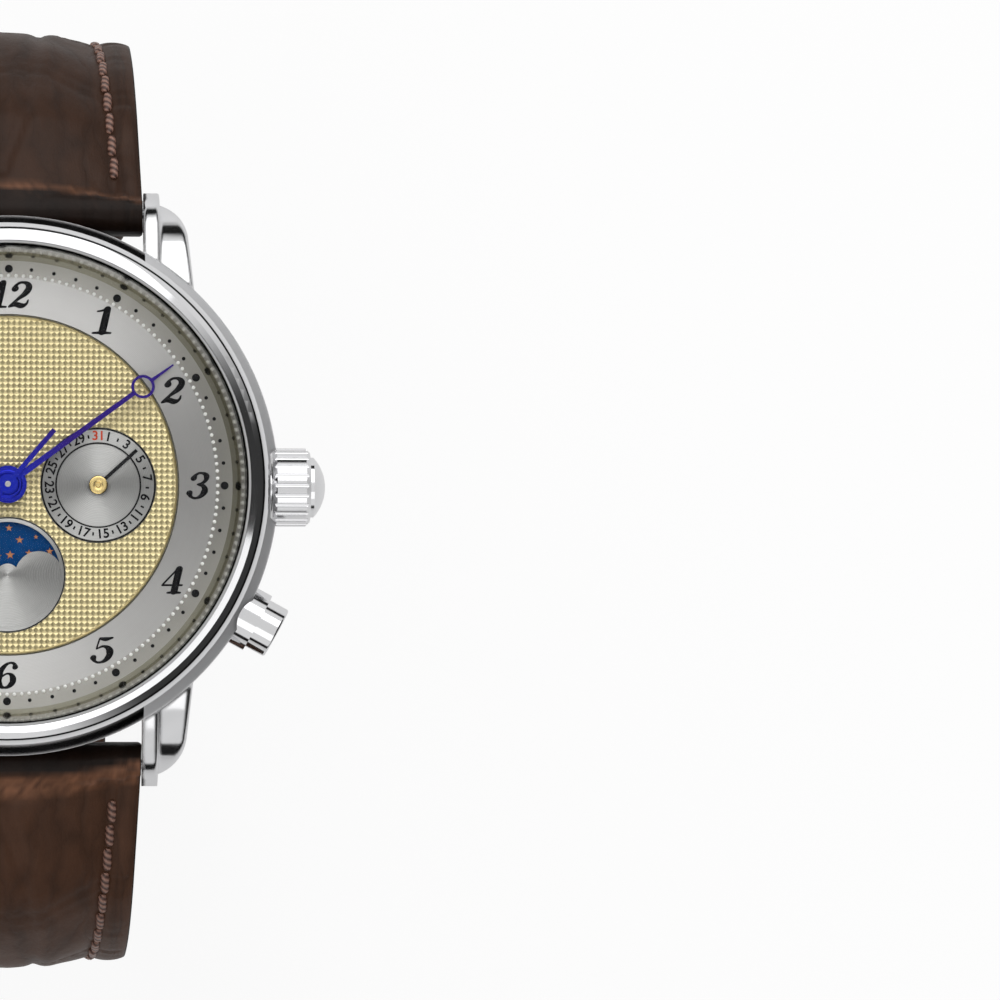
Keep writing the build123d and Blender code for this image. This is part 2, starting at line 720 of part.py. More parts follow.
moon_disc_z = DIAL_LOW_Z - FREE_GAP / 2 - MOON_DISC_T
with BuildPart() as moon_disc:
    with BuildSketch(Plane.XY.offset(moon_disc_z)):
        with Locations(moon_centre):
            Circle(MOON_DISC_R)
            Circle(SMALL_ARBOR_R + SEAT_GAP, mode=Mode.SUBTRACT)
    extrude(amount=MOON_DISC_T)
moon_disc.part.label = "moon_disc"
export_step(moon_disc.part, "parts/moon_disc.step")


# Hands
def ring_hand(height, angle, length, ring_at, boss_r, bore_r):
    """A hand with an open ring before its tip, pointing along the plane's local Y."""
    with BuildPart() as hand:
        with BuildSketch(Plane.XY.offset(height).rotated((0, 0, -angle))):
            Circle(boss_r)
            with BuildLine():
                Polyline(
                    (-HAND_ROOT_W / 2, 0),
                    (HAND_ROOT_W / 2, 0),
                    (HAND_NECK_W / 2, ring_at),
                    (HAND_TIP_W / 2, length),
                    (-HAND_TIP_W / 2, length),
                    (-HAND_NECK_W / 2, ring_at),
                    close=True,
                )
            make_face()
            with Locations((0, ring_at)):
                Circle(HAND_RING_R)
                Circle(HAND_RING_R - HAND_RING_WALL, mode=Mode.SUBTRACT)
            Circle(bore_r, mode=Mode.SUBTRACT)
        extrude(amount=HAND_T)
    return hand


hour_hand = ring_hand(
    HOUR_HAND_Z, HOUR_ANGLE, HOUR_HAND_L, HOUR_RING_Y, HOUR_BOSS_R, HOUR_PIPE_R + SEAT_GAP
)
hour_hand.part.label = "hour_hand"
export_step(hour_hand.part, "parts/hour_hand.step")

minute_hand = ring_hand(
    MINUTE_HAND_Z, MINUTE_ANGLE, MINUTE_HAND_L, MINUTE_RING_Y, MINUTE_BOSS_R, CANNON_TUBE_R + SEAT_GAP
)
minute_hand.part.label = "minute_hand"
export_step(minute_hand.part, "parts/minute_hand.step")

with BuildPart() as seconds_hand:
    with BuildSketch(Plane.XY.offset(SECONDS_HAND_Z).rotated((0, 0, -SECONDS_ANGLE))):
        Circle(SECONDS_BOSS_R)
        with BuildLine():
            Polyline(
                (-SECONDS_TAIL_W / 2, -SECONDS_TAIL_L),
                (SECONDS_TAIL_W / 2, -SECONDS_TAIL_L),
                (SECONDS_TAIL_W / 2, 0),
                (SECONDS_NEEDLE_W / 2, SECONDS_HAND_L),
                (-SECONDS_NEEDLE_W / 2, SECONDS_HAND_L),
                (-SECONDS_TAIL_W / 2, 0),
                close=True,
            )
        make_face()
    extrude(amount=HAND_T)
    with BuildSketch(Plane.XY.offset(SECONDS_HAND_Z)):
        Circle(SECONDS_BOSS_R)
    extrude(amount=SECONDS_CAP_H)
    with BuildSketch(Plane.XY.offset(SECONDS_HAND_Z)):
        Circle(SECONDS_ARBOR_R + SEAT_GAP)
    extrude(amount=HAND_T, mode=Mode.SUBTRACT)
seconds_hand.part.label = "seconds_hand"
export_step(seconds_hand.part, "parts/seconds_hand.step")


def small_hand(centre, angle):
    """A baton hand for a small dial, with a round boss closed at the top."""
    middle = Plane(origin=(*centre, SMALL_HAND_Z))
    with BuildPart() as hand:
        with BuildSketch(middle.rotated((0, 0, -angle))):
            Rectangle(SMALL_HAND_W, SMALL_HAND_L, align=(Align.CENTER, Align.MIN))
        extrude(amount=SMALL_HAND_T)
        with BuildSketch(middle):
            Circle(SMALL_BOSS_R)
        extrude(amount=SMALL_BOSS_H)
        with BuildSketch(middle):
            Circle(SMALL_ARBOR_R + SEAT_GAP)
        extrude(amount=SMALL_HAND_T, mode=Mode.SUBTRACT)
    return hand


date_hand = small_hand(date_centre, DATE_ANGLE)
date_hand.part.label = "date_hand"
export_step(date_hand.part, "parts/date_hand.step")

day_hours_hand = small_hand(day_centre, DAY_HOURS_ANGLE)
day_hours_hand.part.label = "day_hours_hand"
export_step(day_hours_hand.part, "parts/day_hours_hand.step")

# Motion work: cannon pinion, minute wheel and hour wheel, each tooth set in its neighbour's gap
cannon_module = 2 * CENTRE_DISTANCE / (CANNON_TEETH + MINUTE_WHEEL_TEETH)
hour_module = 2 * CENTRE_DISTANCE / (MINUTE_PINION_TEETH + HOUR_WHEEL_TEETH)
centre_module = 2 * THIRD_DISTANCE / (CENTRE_WHEEL_TEETH + THIRD_PINION_TEETH)
third_module = 2 * THIRD_DISTANCE / (THIRD_WHEEL_TEETH + SECONDS_PINION_TEETH)
minute_wheel_at = polar(CENTRE_DISTANCE, MINUTE_WHEEL_ANGLE)
third_wheel_at = polar(THIRD_DISTANCE, THIRD_ANGLE)
seconds_bore_r = SECONDS_ARBOR_R + RUNNING_GAP

with BuildPart() as cannon_pinion:
    with BuildSketch(Plane.XY.offset(CENTRE_WHEEL_Z)):
        Polygon(*gear_corners(CENTRE_WHEEL_TEETH, centre_module), align=None)
    extrude(amount=GEAR_T)
    with BuildSketch(Plane.XY.offset(CENTRE_WHEEL_Z)):
        Circle(CANNON_TUBE_R)
    extrude(amount=MINUTE_HAND_Z + HAND_T - CENTRE_WHEEL_Z)
    with BuildSketch(Plane.XY.offset(CANNON_Z)):
        Polygon(*gear_corners(CANNON_TEETH, cannon_module), align=None)
    extrude(amount=MINUTE_WHEEL_Z + GEAR_T - CANNON_Z)
    with BuildSketch(Plane.XY.offset(CENTRE_WHEEL_Z)):
        Circle(seconds_bore_r)
    extrude(amount=MINUTE_HAND_Z + HAND_T - CENTRE_WHEEL_Z, mode=Mode.SUBTRACT)
cannon_pinion.part.label = "cannon_pinion"
export_step(cannon_pinion.part, "parts/cannon_pinion.step")

minute_turn = meshed_turn(MINUTE_WHEEL_ANGLE, CANNON_TEETH, 0, MINUTE_WHEEL_TEETH)
with BuildPart() as minute_wheel:
    with BuildSketch(Plane.XY.offset(MINUTE_WHEEL_Z)):
        with Locations(minute_wheel_at):
            Polygon(*gear_corners(MINUTE_WHEEL_TEETH, cannon_module, minute_turn), align=None)
    extrude(amount=GEAR_T)
    with BuildSketch(Plane.XY.offset(MINUTE_WHEEL_Z)):
        with Locations(minute_wheel_at):
            Polygon(*gear_corners(MINUTE_PINION_TEETH, hour_module), align=None)
    extrude(amount=HOUR_WHEEL_Z + GEAR_T - MINUTE_WHEEL_Z)
    with BuildSketch(Plane.XY.offset(MINUTE_WHEEL_Z)):
        with Locations(minute_wheel_at):
            Circle(POST_R + RUNNING_GAP)
    extrude(amount=HOUR_WHEEL_Z + GEAR_T - MINUTE_WHEEL_Z, mode=Mode.SUBTRACT)
minute_wheel.part.label = "minute_wheel"
export_step(minute_wheel.part, "parts/minute_wheel.step")

hour_turn = meshed_turn(MINUTE_WHEEL_ANGLE + 180, MINUTE_PINION_TEETH, 0, HOUR_WHEEL_TEETH)
with BuildPart() as hour_wheel:
    with BuildSketch(Plane.XY.offset(HOUR_WHEEL_Z)):
        Polygon(*gear_corners(HOUR_WHEEL_TEETH, hour_module, hour_turn), align=None)
    extrude(amount=GEAR_T)
    with BuildSketch(Plane.XY.offset(HOUR_WHEEL_Z)):
        Polygon(*gear_corners(HOUR_PINION_TEETH, DAY_MODULE), align=None)
    extrude(amount=DAY_TRAIN_Z + GEAR_T - HOUR_WHEEL_Z)
    with BuildSketch(Plane.XY.offset(HOUR_WHEEL_Z)):
        Circle(HOUR_PIPE_R)
    extrude(amount=HOUR_HAND_Z + HAND_T - HOUR_WHEEL_Z)
    with BuildSketch(Plane.XY.offset(HOUR_WHEEL_Z)):
        Circle(CANNON_TUBE_R + RUNNING_GAP)
    extrude(amount=HOUR_HAND_Z + HAND_T - HOUR_WHEEL_Z, mode=Mode.SUBTRACT)
hour_wheel.part.label = "hour_wheel"
export_step(hour_wheel.part, "parts/hour_wheel.step")

# Going train: the third wheel and the seconds wheel with its arbor
third_turn = meshed_turn(THIRD_ANGLE, CENTRE_WHEEL_TEETH, 0, THIRD_PINION_TEETH)
with BuildPart() as third_wheel:
    with BuildSketch(Plane.XY.offset(THIRD_WHEEL_Z)):
        with Locations(third_wheel_at):
            Polygon(*gear_corners(THIRD_WHEEL_TEETH, third_module, THIRD_ANGLE + 180), align=None)
    extrude(amount=GEAR_T)
    with BuildSketch(Plane.XY.offset(THIRD_WHEEL_Z)):
        with Locations(third_wheel_at):
            Polygon(*gear_corners(THIRD_PINION_TEETH, centre_module, third_turn), align=None)
    extrude(amount=CENTRE_WHEEL_Z + GEAR_T - THIRD_WHEEL_Z)
    with BuildSketch(Plane.XY.offset(BRIDGE_LOW_Z)):
        with Locations(third_wheel_at):
            Circle(SECONDS_ARBOR_R)
    extrude(amount=PLATE_LOW_Z + POST_DEPTH - BRIDGE_LOW_Z)
third_wheel.part.label = "third_wheel"
export_step(third_wheel.part, "parts/third_wheel.step")

seconds_turn = meshed_turn(THIRD_ANGLE + 180, THIRD_WHEEL_TEETH, THIRD_ANGLE + 180, SECONDS_PINION_TEETH)
with BuildPart() as seconds_wheel:
    with BuildSketch(Plane.XY.offset(THIRD_WHEEL_Z)):
        Polygon(*gear_corners(SECONDS_PINION_TEETH, third_module, seconds_turn), align=None)
    extrude(amount=GEAR_T)
    with BuildSketch(Plane.XY.offset(BRIDGE_LOW_Z)):
        Circle(SECONDS_ARBOR_R)
    extrude(amount=SECONDS_HAND_Z + HAND_T - SEAT_GAP - BRIDGE_LOW_Z)
seconds_wheel.part.label = "seconds_wheel"
export_step(seconds_wheel.part, "parts/seconds_wheel.step")

# 24-hour train: an idler between the hour wheel's pinion and the day wheel
idler_reach = (HOUR_PINION_TEETH + IDLER_TEETH) * DAY_MODULE / 2
day_reach = (IDLER_TEETH + DAY_WHEEL_TEETH) * DAY_MODULE / 2
idler_along = (idler_reach**2 - day_reach**2 + SUBDIAL_OFFSET**2) / (2 * SUBDIAL_OFFSET)
idler_aside = (idler_reach**2 - idler_along**2) ** 0.5
idler_at = (-idler_along, -idler_aside)
idler_angle = Edge.make_line((0, 0), idler_at).tangent_angle_at(0)
day_angle = Edge.make_line(idler_at, day_centre).tangent_angle_at(0)
idler_turn = meshed_turn(idler_angle, HOUR_PINION_TEETH, 0, IDLER_TEETH)
day_turn = meshed_turn(day_angle, IDLER_TEETH, idler_turn, DAY_WHEEL_TEETH)

with BuildPart() as day_idler:
    with BuildSketch(Plane.XY.offset(DAY_TRAIN_Z)):
        with Locations(idler_at):
            Polygon(*gear_corners(IDLER_TEETH, DAY_MODULE, idler_turn), align=None)
            Circle(POST_R + RUNNING_GAP, mode=Mode.SUBTRACT)
    extrude(amount=GEAR_T)
day_idler.part.label = "day_idler"
export_step(day_idler.part, "parts/day_idler.step")


def dial_wheel(centre, height, corners, arbor_top):
    """A wheel on its own arbor, which turns in the plate below and carries a hand or a disc above."""
    with BuildPart() as wheel:
        with BuildSketch(Plane.XY.offset(height)):
            with Locations(centre):
                Polygon(*corners, align=None)
        extrude(amount=GEAR_T)
        with BuildSketch(Plane.XY.offset(PLATE_TOP_Z - POST_DEPTH)):
            with Locations(centre):
                Circle(SMALL_ARBOR_R)
        extrude(amount=arbor_top - PLATE_TOP_Z + POST_DEPTH)
    return wheel


small_arbor_top = SMALL_HAND_Z + SMALL_HAND_T - SEAT_GAP
day_wheel = dial_wheel(
    day_centre, DAY_TRAIN_Z, gear_corners(DAY_WHEEL_TEETH, DAY_MODULE, day_turn), small_arbor_top
)
day_wheel.part.label = "day_wheel"
export_step(day_wheel.part, "parts/day_wheel.step")

date_wheel = dial_wheel(
    date_centre, STAR_Z, tooth_corners(DATE_TEETH, STAR_R, STAR_R + STAR_TOOTH_H), small_arbor_top
)
date_wheel.part.label = "date_wheel"
export_step(date_wheel.part, "parts/date_wheel.step")

moon_wheel = dial_wheel(
    moon_centre,
    STAR_Z,
    tooth_corners(MOON_TEETH, STAR_R, STAR_R + STAR_TOOTH_H),
    moon_disc_z + MOON_DISC_T,
)
moon_wheel.part.label = "moon_wheel"
export_step(moon_wheel.part, "parts/moon_wheel.step")

# Movement plate: windows for battery and coil, a channel for the stem, posts and holes for the wheels
bridge_middle = Vector(BRIDGE_X, BRIDGE_Y)
pillar_points = [bridge_middle + Vector(*polar(PILLAR_RING_R, angle)) for angle in PILLAR_ANGLES]
circuit_points = [polar(CIRCUIT_SCREW_RING_R, angle) for angle in CIRCUIT_SCREW_ANGLES]
with BuildPart() as main_plate:
    with BuildSketch(Plane.XY.offset(PLATE_LOW_Z)):
        Circle(PLATE_R)
        with Locations((BATTERY_X, BATTERY_Y)):
            Circle(BATTERY_R + FREE_GAP, mode=Mode.SUBTRACT)
        with Locations((COIL_X, COIL_Y)):
            Rectangle(COIL_L + 2 * CHEEK_T + 2 * FREE_GAP, 2 * (CHEEK_R + FREE_GAP), mode=Mode.SUBTRACT)
        with Locations((CHANNEL_X, 0)):
            Rectangle(PLATE_R, CHANNEL_W, align=(Align.MIN, Align.CENTER), mode=Mode.SUBTRACT)
    extrude(amount=PLATE_TOP_Z - PLATE_LOW_Z)
    with BuildSketch(Plane.XY.offset(PLATE_LOW_Z)):
        with Locations(*pillar_points):
            Circle(PILLAR_R)
    extrude(amount=BRIDGE_LOW_Z + BRIDGE_T - PLATE_LOW_Z)
    with BuildSketch(Plane.XY.offset(PLATE_TOP_Z)):
        with Locations(minute_wheel_at):
            Circle(POST_R)
    extrude(amount=HOUR_WHEEL_Z + GEAR_T - PLATE_TOP_Z)
    with BuildSketch(Plane.XY.offset(PLATE_TOP_Z)):
        with Locations(idler_at):
            Circle(POST_R)
    extrude(amount=DAY_TRAIN_Z + GEAR_T - PLATE_TOP_Z)
    with BuildSketch(Plane.XY.offset(PLATE_LOW_Z)):
        Circle(CANNON_TUBE_R + RUNNING_GAP)
        with PolarLocations(DIAL_FOOT_RING_R, 2, DIAL_FOOT_ANGLE):
            Circle(DIAL_FOOT_R + SEAT_GAP)
    extrude(amount=PLATE_TOP_Z - PLATE_LOW_Z, mode=Mode.SUBTRACT)
    with BuildSketch(Plane.XY.offset(PLATE_TOP_Z)):
        with Locations(date_centre, day_centre, moon_centre):
            Circle(SMALL_ARBOR_R + RUNNING_GAP)
    extrude(amount=-POST_DEPTH - RUNNING_GAP, mode=Mode.SUBTRACT)
    with BuildSketch(Plane.XY.offset(PLATE_LOW_Z)):
        with Locations(third_wheel_at):
            Circle(seconds_bore_r)
    extrude(amount=POST_DEPTH + RUNNING_GAP, mode=Mode.SUBTRACT)
    with BuildSketch(Plane.XY.offset(BRIDGE_LOW_Z + BRIDGE_T)):
        with Locations(*pillar_points):
            Circle(SCREW_SHANK_R + SEAT_GAP)
    extrude(amount=SCREW_SHANK_L - BRIDGE_T + SEAT_GAP, mode=Mode.SUBTRACT)
    with BuildSketch(Plane.XY.offset(PLATE_LOW_Z)):
        with Locations(*circuit_points):
            Circle(SCREW_SHANK_R + SEAT_GAP)
    extrude(amount=SCREW_SHANK_L, mode=Mode.SUBTRACT)
main_plate.part.label = "main_plate"
export_step(main_plate.part, "parts/main_plate.step")

with BuildPart() as train_bridge:
    with BuildSketch(Plane.XY.offset(BRIDGE_LOW_Z)):
        with Locations((BRIDGE_X, BRIDGE_Y)):
            Circle(BRIDGE_R)
        with Locations((BATTERY_X, BATTERY_Y)):
            Circle(BATTERY_R + FREE_GAP, mode=Mode.SUBTRACT)
        Circle(seconds_bore_r, mode=Mode.SUBTRACT)
        with Locations(third_wheel_at):
            Circle(seconds_bore_r, mode=Mode.SUBTRACT)
        with Locations(*pillar_points):
            Circle(SCREW_SHANK_R + SEAT_GAP, mode=Mode.SUBTRACT)
    extrude(amount=BRIDGE_T)
train_bridge.part.label = "train_bridge"
export_step(train_bridge.part, "parts/train_bridge.step")

with BuildPart() as movement_holder:
    with BuildSketch(Plane.XY.offset(HOLDER_LOW_Z)):
        Circle(HOLDER_R)
        Circle(PLATE_R + SEAT_GAP, mode=Mode.SUBTRACT)
    extrude(amount=HOLDER_TOP_Z - HOLDER_LOW_Z)
    with BuildSketch(Plane.YZ.offset(PLATE_R - OVERRUN)):
        with Locations((0, CROWN_Z)):
            Rectangle(HOLDER_SLOT_W, HOLDER_SLOT_H)
    extrude(amount=HOLDER_R - PLATE_R + 2 * OVERRUN, mode=Mode.SUBTRACT)
    with BuildSketch(pusher_plane(PUSHER_STEM_END_R - PUSHER_TRAVEL - 2 * FREE_GAP)):
        Rectangle(HOLDER_SLOT_H, HOLDER_SLOT_W)
    extrude(amount=HOLDER_R - PUSHER_STEM_END_R + 2 * OVERRUN, mode=Mode.SUBTRACT)
movement_holder.part.label = "movement_holder"
export_step(movement_holder.part, "parts/movement_holder.step")

# Battery with its stepped cap, and the clamp that holds it
with BuildPart() as battery:
    with BuildSketch(Plane.XY.offset(BATTERY_Z + BATTERY_CAP_T)):
        with Locations((BATTERY_X, BATTERY_Y)):
            Circle(BATTERY_R)
    extrude(amount=BATTERY_T - BATTERY_CAP_T)
    with BuildSketch(Plane.XY.offset(BATTERY_Z)):
        with Locations((BATTERY_X, BATTERY_Y)):
            Circle(BATTERY_CAP_R)
    extrude(amount=BATTERY_CAP_T)
battery.part.label = "battery"
export_step(battery.part, "parts/battery.step")

clamp_l = 2 * (BATTERY_R + FREE_GAP + CLAMP_LEG_T)
with BuildPart() as battery_clamp:
    with BuildSketch(Plane.XY.offset(BATTERY_Z - CLAMP_T)):
        with Locations((BATTERY_X, BATTERY_Y)):
            Rectangle(clamp_l, CLAMP_W)
    extrude(amount=PLATE_LOW_Z - BATTERY_Z + CLAMP_T)
    with BuildSketch(Plane.XY.offset(BATTERY_Z)):
        with Locations((BATTERY_X, BATTERY_Y)):
            Rectangle(clamp_l - 2 * CLAMP_LEG_T, CLAMP_W)
    extrude(amount=PLATE_LOW_Z - BATTERY_Z, mode=Mode.SUBTRACT)
battery_clamp.part.label = "battery_clamp"
export_step(battery_clamp.part, "parts/battery_clamp.step")

# Stepping motor: a coil on its core, and the stator with the capped rotor
with BuildPart() as coil:
    with BuildSketch(Plane.YZ.offset(COIL_X - COIL_L / 2)):
        with Locations((COIL_Y, COIL_Z)):
            Circle(COIL_R)
    extrude(amount=COIL_L)
    for cheek_x in (COIL_X - COIL_L / 2 - CHEEK_T, COIL_X + COIL_L / 2):
        with BuildSketch(Plane.YZ.offset(cheek_x)):
            with Locations((COIL_Y, COIL_Z)):
                Circle(CHEEK_R)
        extrude(amount=CHEEK_T)
    with BuildSketch(Plane.XY.offset(PLATE_LOW_Z - STATOR_T)):
        with Locations((COIL_X, COIL_Y)):
            Rectangle(CORE_L, CORE_W)
    extrude(amount=STATOR_T)
coil.part.label = "coil"
export_step(coil.part, "parts/coil.step")

with BuildPart() as stepping_motor:
    with BuildSketch(Plane.XY.offset(PLATE_LOW_Z - STATOR_T)):
        with Locations((COIL_X, STATOR_Y)):
            Rectangle(CORE_L, STATOR_W)
        # the two ends reach to the coil's core
        with Locations((COIL_X - CORE_L / 2, STATOR_Y), (COIL_X + CORE_L / 2 - CORE_W, STATOR_Y)):
            Rectangle(CORE_W, STATOR_Y - COIL_Y - CORE_W / 2, align=(Align.MIN, Align.MAX))
    extrude(amount=STATOR_T)
    with BuildSketch(Plane.XY.offset(PLATE_LOW_Z - STATOR_T)):
        with Locations((COIL_X, STATOR_Y)):
            Circle(MOTOR_CAP_R)
    extrude(amount=-MOTOR_CAP_L)
stepping_motor.part.label = "stepping_motor"
export_step(stepping_motor.part, "parts/stepping_motor.step")

# Circuit board: a curved strip under the plate, on the crown's side
with BuildPart() as circuit_board:
    with BuildSketch(Plane.XY.offset(CIRCUIT_TOP_Z - CIRCUIT_T)):
        with BuildLine():
            inner = CenterArc((0, 0), CIRCUIT_IN_R, -CIRCUIT_SPAN / 2, CIRCUIT_SPAN)
            outer = CenterArc((0, 0), CIRCUIT_OUT_R, -CIRCUIT_SPAN / 2, CIRCUIT_SPAN)
            Line(inner @ 0, outer @ 0)
            Line(inner @ 1, outer @ 1)
        make_face()
        with Locations(*circuit_points):
            Circle(SCREW_SHANK_R + SEAT_GAP, mode=Mode.SUBTRACT)
    extrude(amount=CIRCUIT_T)
circuit_board.part.label = "circuit_board"
export_step(circuit_board.part, "parts/circuit_board.step")

# Movement screws: three under the bridge and two under the circuit board
screw_seats = [(point.X, point.Y, BRIDGE_LOW_Z) for point in pillar_points]
screw_seats += [(*point, CIRCUIT_TOP_Z - CIRCUIT_T) for point in circuit_points]
with BuildPart() as movement_screws:
    for seat_x, seat_y, seat_z in screw_seats:
        with BuildSketch(Plane.XY.offset(seat_z - SCREW_HEAD_H)):
            with Locations((seat_x, seat_y)):
                Circle(SCREW_HEAD_R)
        extrude(amount=SCREW_HEAD_H)
        with BuildSketch(Plane.XY.offset(seat_z)):
            with Locations((seat_x, seat_y)):
                Circle(SCREW_SHANK_R)
        extrude(amount=SCREW_SHANK_L)
        with BuildSketch(Plane.XY.offset(seat_z - SCREW_HEAD_H)):
            with Locations((seat_x, seat_y)):
                Rectangle(2 * SCREW_HEAD_R, SCREW_SLOT_W)
        extrude(amount=SCREW_HEAD_H / 2, mode=Mode.SUBTRACT)
movement_screws.part.label = "movement_screws"
export_step(movement_screws.part, "parts/movement_screws.step")


# Crown, stem and setting parts, all on one axis along X
def crown_plane(distance):
    """The plane square to the crown's axis at a distance from the watch's centre line."""
    return Plane(origin=(distance, 0, CROWN_Z), x_dir=(0, 1, 0), z_dir=(1, 0, 0))


with BuildPart() as crown_tube:
    with BuildSketch(crown_plane(CAVITY_R + FREE_GAP)):
        Circle(TUBE_R)
    extrude(amount=TUBE_OUT_X - CAVITY_R - FREE_GAP)
    with BuildSketch(crown_plane(CROWN_FLAT_X)):
        Circle(TUBE_FLANGE_R)
    extrude(amount=TUBE_FLANGE_T)
    with BuildSketch(crown_plane(CAVITY_R)):
        Circle(STEM_R + RUNNING_GAP)
    extrude(amount=TUBE_OUT_X - CAVITY_R, mode=Mode.SUBTRACT)
crown_tube.part.label = "crown_tube"
export_step(crown_tube.part, "parts/crown_tube.step")

crown_end = CROWN_X + CROWN_L
crown_axis = Axis((0, 0, CROWN_Z), (1, 0, 0))
with BuildPart() as crown:
    with BuildSketch(Plane.XZ):
        with BuildLine():
            Polyline(
                (CROWN_X, CROWN_Z),
                (CROWN_X, CROWN_Z + CROWN_R - CROWN_BEVEL),
                (CROWN_X + CROWN_BEVEL, CROWN_Z + CROWN_R),
                (crown_end - CROWN_BEVEL, CROWN_Z + CROWN_R),
                (crown_end, CROWN_Z + CROWN_R - CROWN_BEVEL),
                (crown_end, CROWN_Z),
                close=True,
            )
        make_face()
    revolve(axis=crown_axis)
    with BuildSketch(crown_plane(CROWN_X)):
        with PolarLocations(CROWN_R, CROWN_FLUTES):
            Circle(CROWN_FLUTE_R)
    extrude(amount=CROWN_L, mode=Mode.SUBTRACT)
    with BuildSketch(crown_plane(CROWN_X)):
        Circle(CROWN_BORE_R)
    extrude(amount=CROWN_BORE_L, mode=Mode.SUBTRACT)
    with BuildSketch(crown_plane(crown_end)):
        Circle(CROWN_CAP_R + SEAT_GAP)
    extrude(amount=-CROWN_CAP_SEAT, mode=Mode.SUBTRACT)
crown.part.label = "crown"
export_step(crown.part, "parts/crown.step")

cap_rise = CROWN_CAP_L - CROWN_CAP_STRAIGHT
cap_drop = dome_drop(CROWN_CAP_R, cap_rise, CROWN_CAP_R / 2)
with BuildPart() as crown_cap:
    with BuildSketch(Plane.XZ):
        with BuildLine():
            Polyline(
                (crown_end + CROWN_CAP_L, CROWN_Z),
                (crown_end - CROWN_CAP_SEAT, CROWN_Z),
                (crown_end - CROWN_CAP_SEAT, CROWN_Z + CROWN_CAP_R),
                (crown_end + CROWN_CAP_STRAIGHT, CROWN_Z + CROWN_CAP_R),
            )
            ThreePointArc(
                (crown_end + CROWN_CAP_STRAIGHT, CROWN_Z + CROWN_CAP_R),
                (crown_end + CROWN_CAP_L - cap_drop, CROWN_Z + CROWN_CAP_R / 2),
                (crown_end + CROWN_CAP_L, CROWN_Z),
            )
        make_face()
    revolve(axis=crown_axis)
crown_cap.part.label = "crown_cap"
export_step(crown_cap.part, "parts/crown_cap.step")

# The gasket sits in the crown's bore and slides on the tube
with BuildPart() as crown_gasket:
    with BuildSketch(crown_plane(CROWN_X + FREE_GAP)):
        Circle(CROWN_BORE_R - SEAT_GAP)
        Circle(TUBE_R + RUNNING_GAP, mode=Mode.SUBTRACT)
    extrude(amount=CROWN_GASKET_L)
crown_gasket.part.label = "crown_gasket"
export_step(crown_gasket.part, "parts/crown_gasket.step")

with BuildPart() as stem:
    with BuildSketch(crown_plane(STEM_END_X)):
        Circle(STEM_R)
    extrude(amount=CROWN_X + CROWN_BORE_L - STEM_END_X)
    with BuildSketch(crown_plane(STEM_NECK_X)):
        Circle(STEM_R)
        Circle(STEM_NECK_R, mode=Mode.SUBTRACT)
    extrude(amount=STEM_NECK_L, mode=Mode.SUBTRACT)
stem.part.label = "stem"
export_step(stem.part, "parts/stem.step")

setting_root_r = (STEM_R + SETTING_PINION_R) / 2
with BuildPart() as setting_pinion:
    with BuildSketch(crown_plane(SETTING_PINION_X)):
        Polygon(*tooth_corners(SETTING_PINION_TEETH, setting_root_r, SETTING_PINION_R), align=None)
        Circle(STEM_R + SEAT_GAP, mode=Mode.SUBTRACT)
    extrude(amount=SETTING_PINION_L)
setting_pinion.part.label = "setting_pinion"
export_step(setting_pinion.part, "parts/setting_pinion.step")

lever_x = STEM_NECK_X + (STEM_NECK_L - LEVER_T) / 2
neck_hole_r = STEM_NECK_R + RUNNING_GAP
with BuildPart() as setting_lever:
    with BuildSketch(crown_plane(lever_x)):
        with Locations((0, LEVER_LOW_Z - CROWN_Z)):
            Rectangle(LEVER_W, LEVER_TOP_Z - LEVER_LOW_Z, align=(Align.CENTER, Align.MIN))
        Circle(neck_hole_r, mode=Mode.SUBTRACT)
        Rectangle(
            2 * neck_hole_r,
            CROWN_Z - LEVER_LOW_Z,
            align=(Align.CENTER, Align.MAX),
            mode=Mode.SUBTRACT,
        )
    extrude(amount=LEVER_T)
setting_lever.part.label = "setting_lever"
export_step(setting_lever.part, "parts/setting_lever.step")

# Pusher: a cup-shaped tube in the case, a hollow button, its spring and its clip
pusher_floor_at = PUSHER_TUBE_SEAT_R + PUSHER_FLOOR_T
with BuildPart() as pusher_tube:
    with BuildSketch(pusher_plane(PUSHER_TUBE_SEAT_R)):
        Circle(PUSHER_TUBE_R)
    extrude(amount=PUSHER_TUBE_L)
    with BuildSketch(pusher_plane(pusher_floor_at)):
        Circle(PUSHER_TUBE_R - PUSHER_TUBE_WALL)
    extrude(amount=PUSHER_TUBE_L, mode=Mode.SUBTRACT)
    with BuildSketch(pusher_plane(PUSHER_SPIGOT_END)):
        Circle(PUSHER_SPIGOT_R)
    extrude(amount=PUSHER_TUBE_SEAT_R - PUSHER_SPIGOT_END)
    with BuildSketch(pusher_plane(PUSHER_SPIGOT_END)):
        Circle(PUSHER_STEM_R + RUNNING_GAP)
    extrude(amount=pusher_floor_at - PUSHER_SPIGOT_END, mode=Mode.SUBTRACT)
pusher_tube.part.label = "pusher_tube"
export_step(pusher_tube.part, "parts/pusher_tube.step")

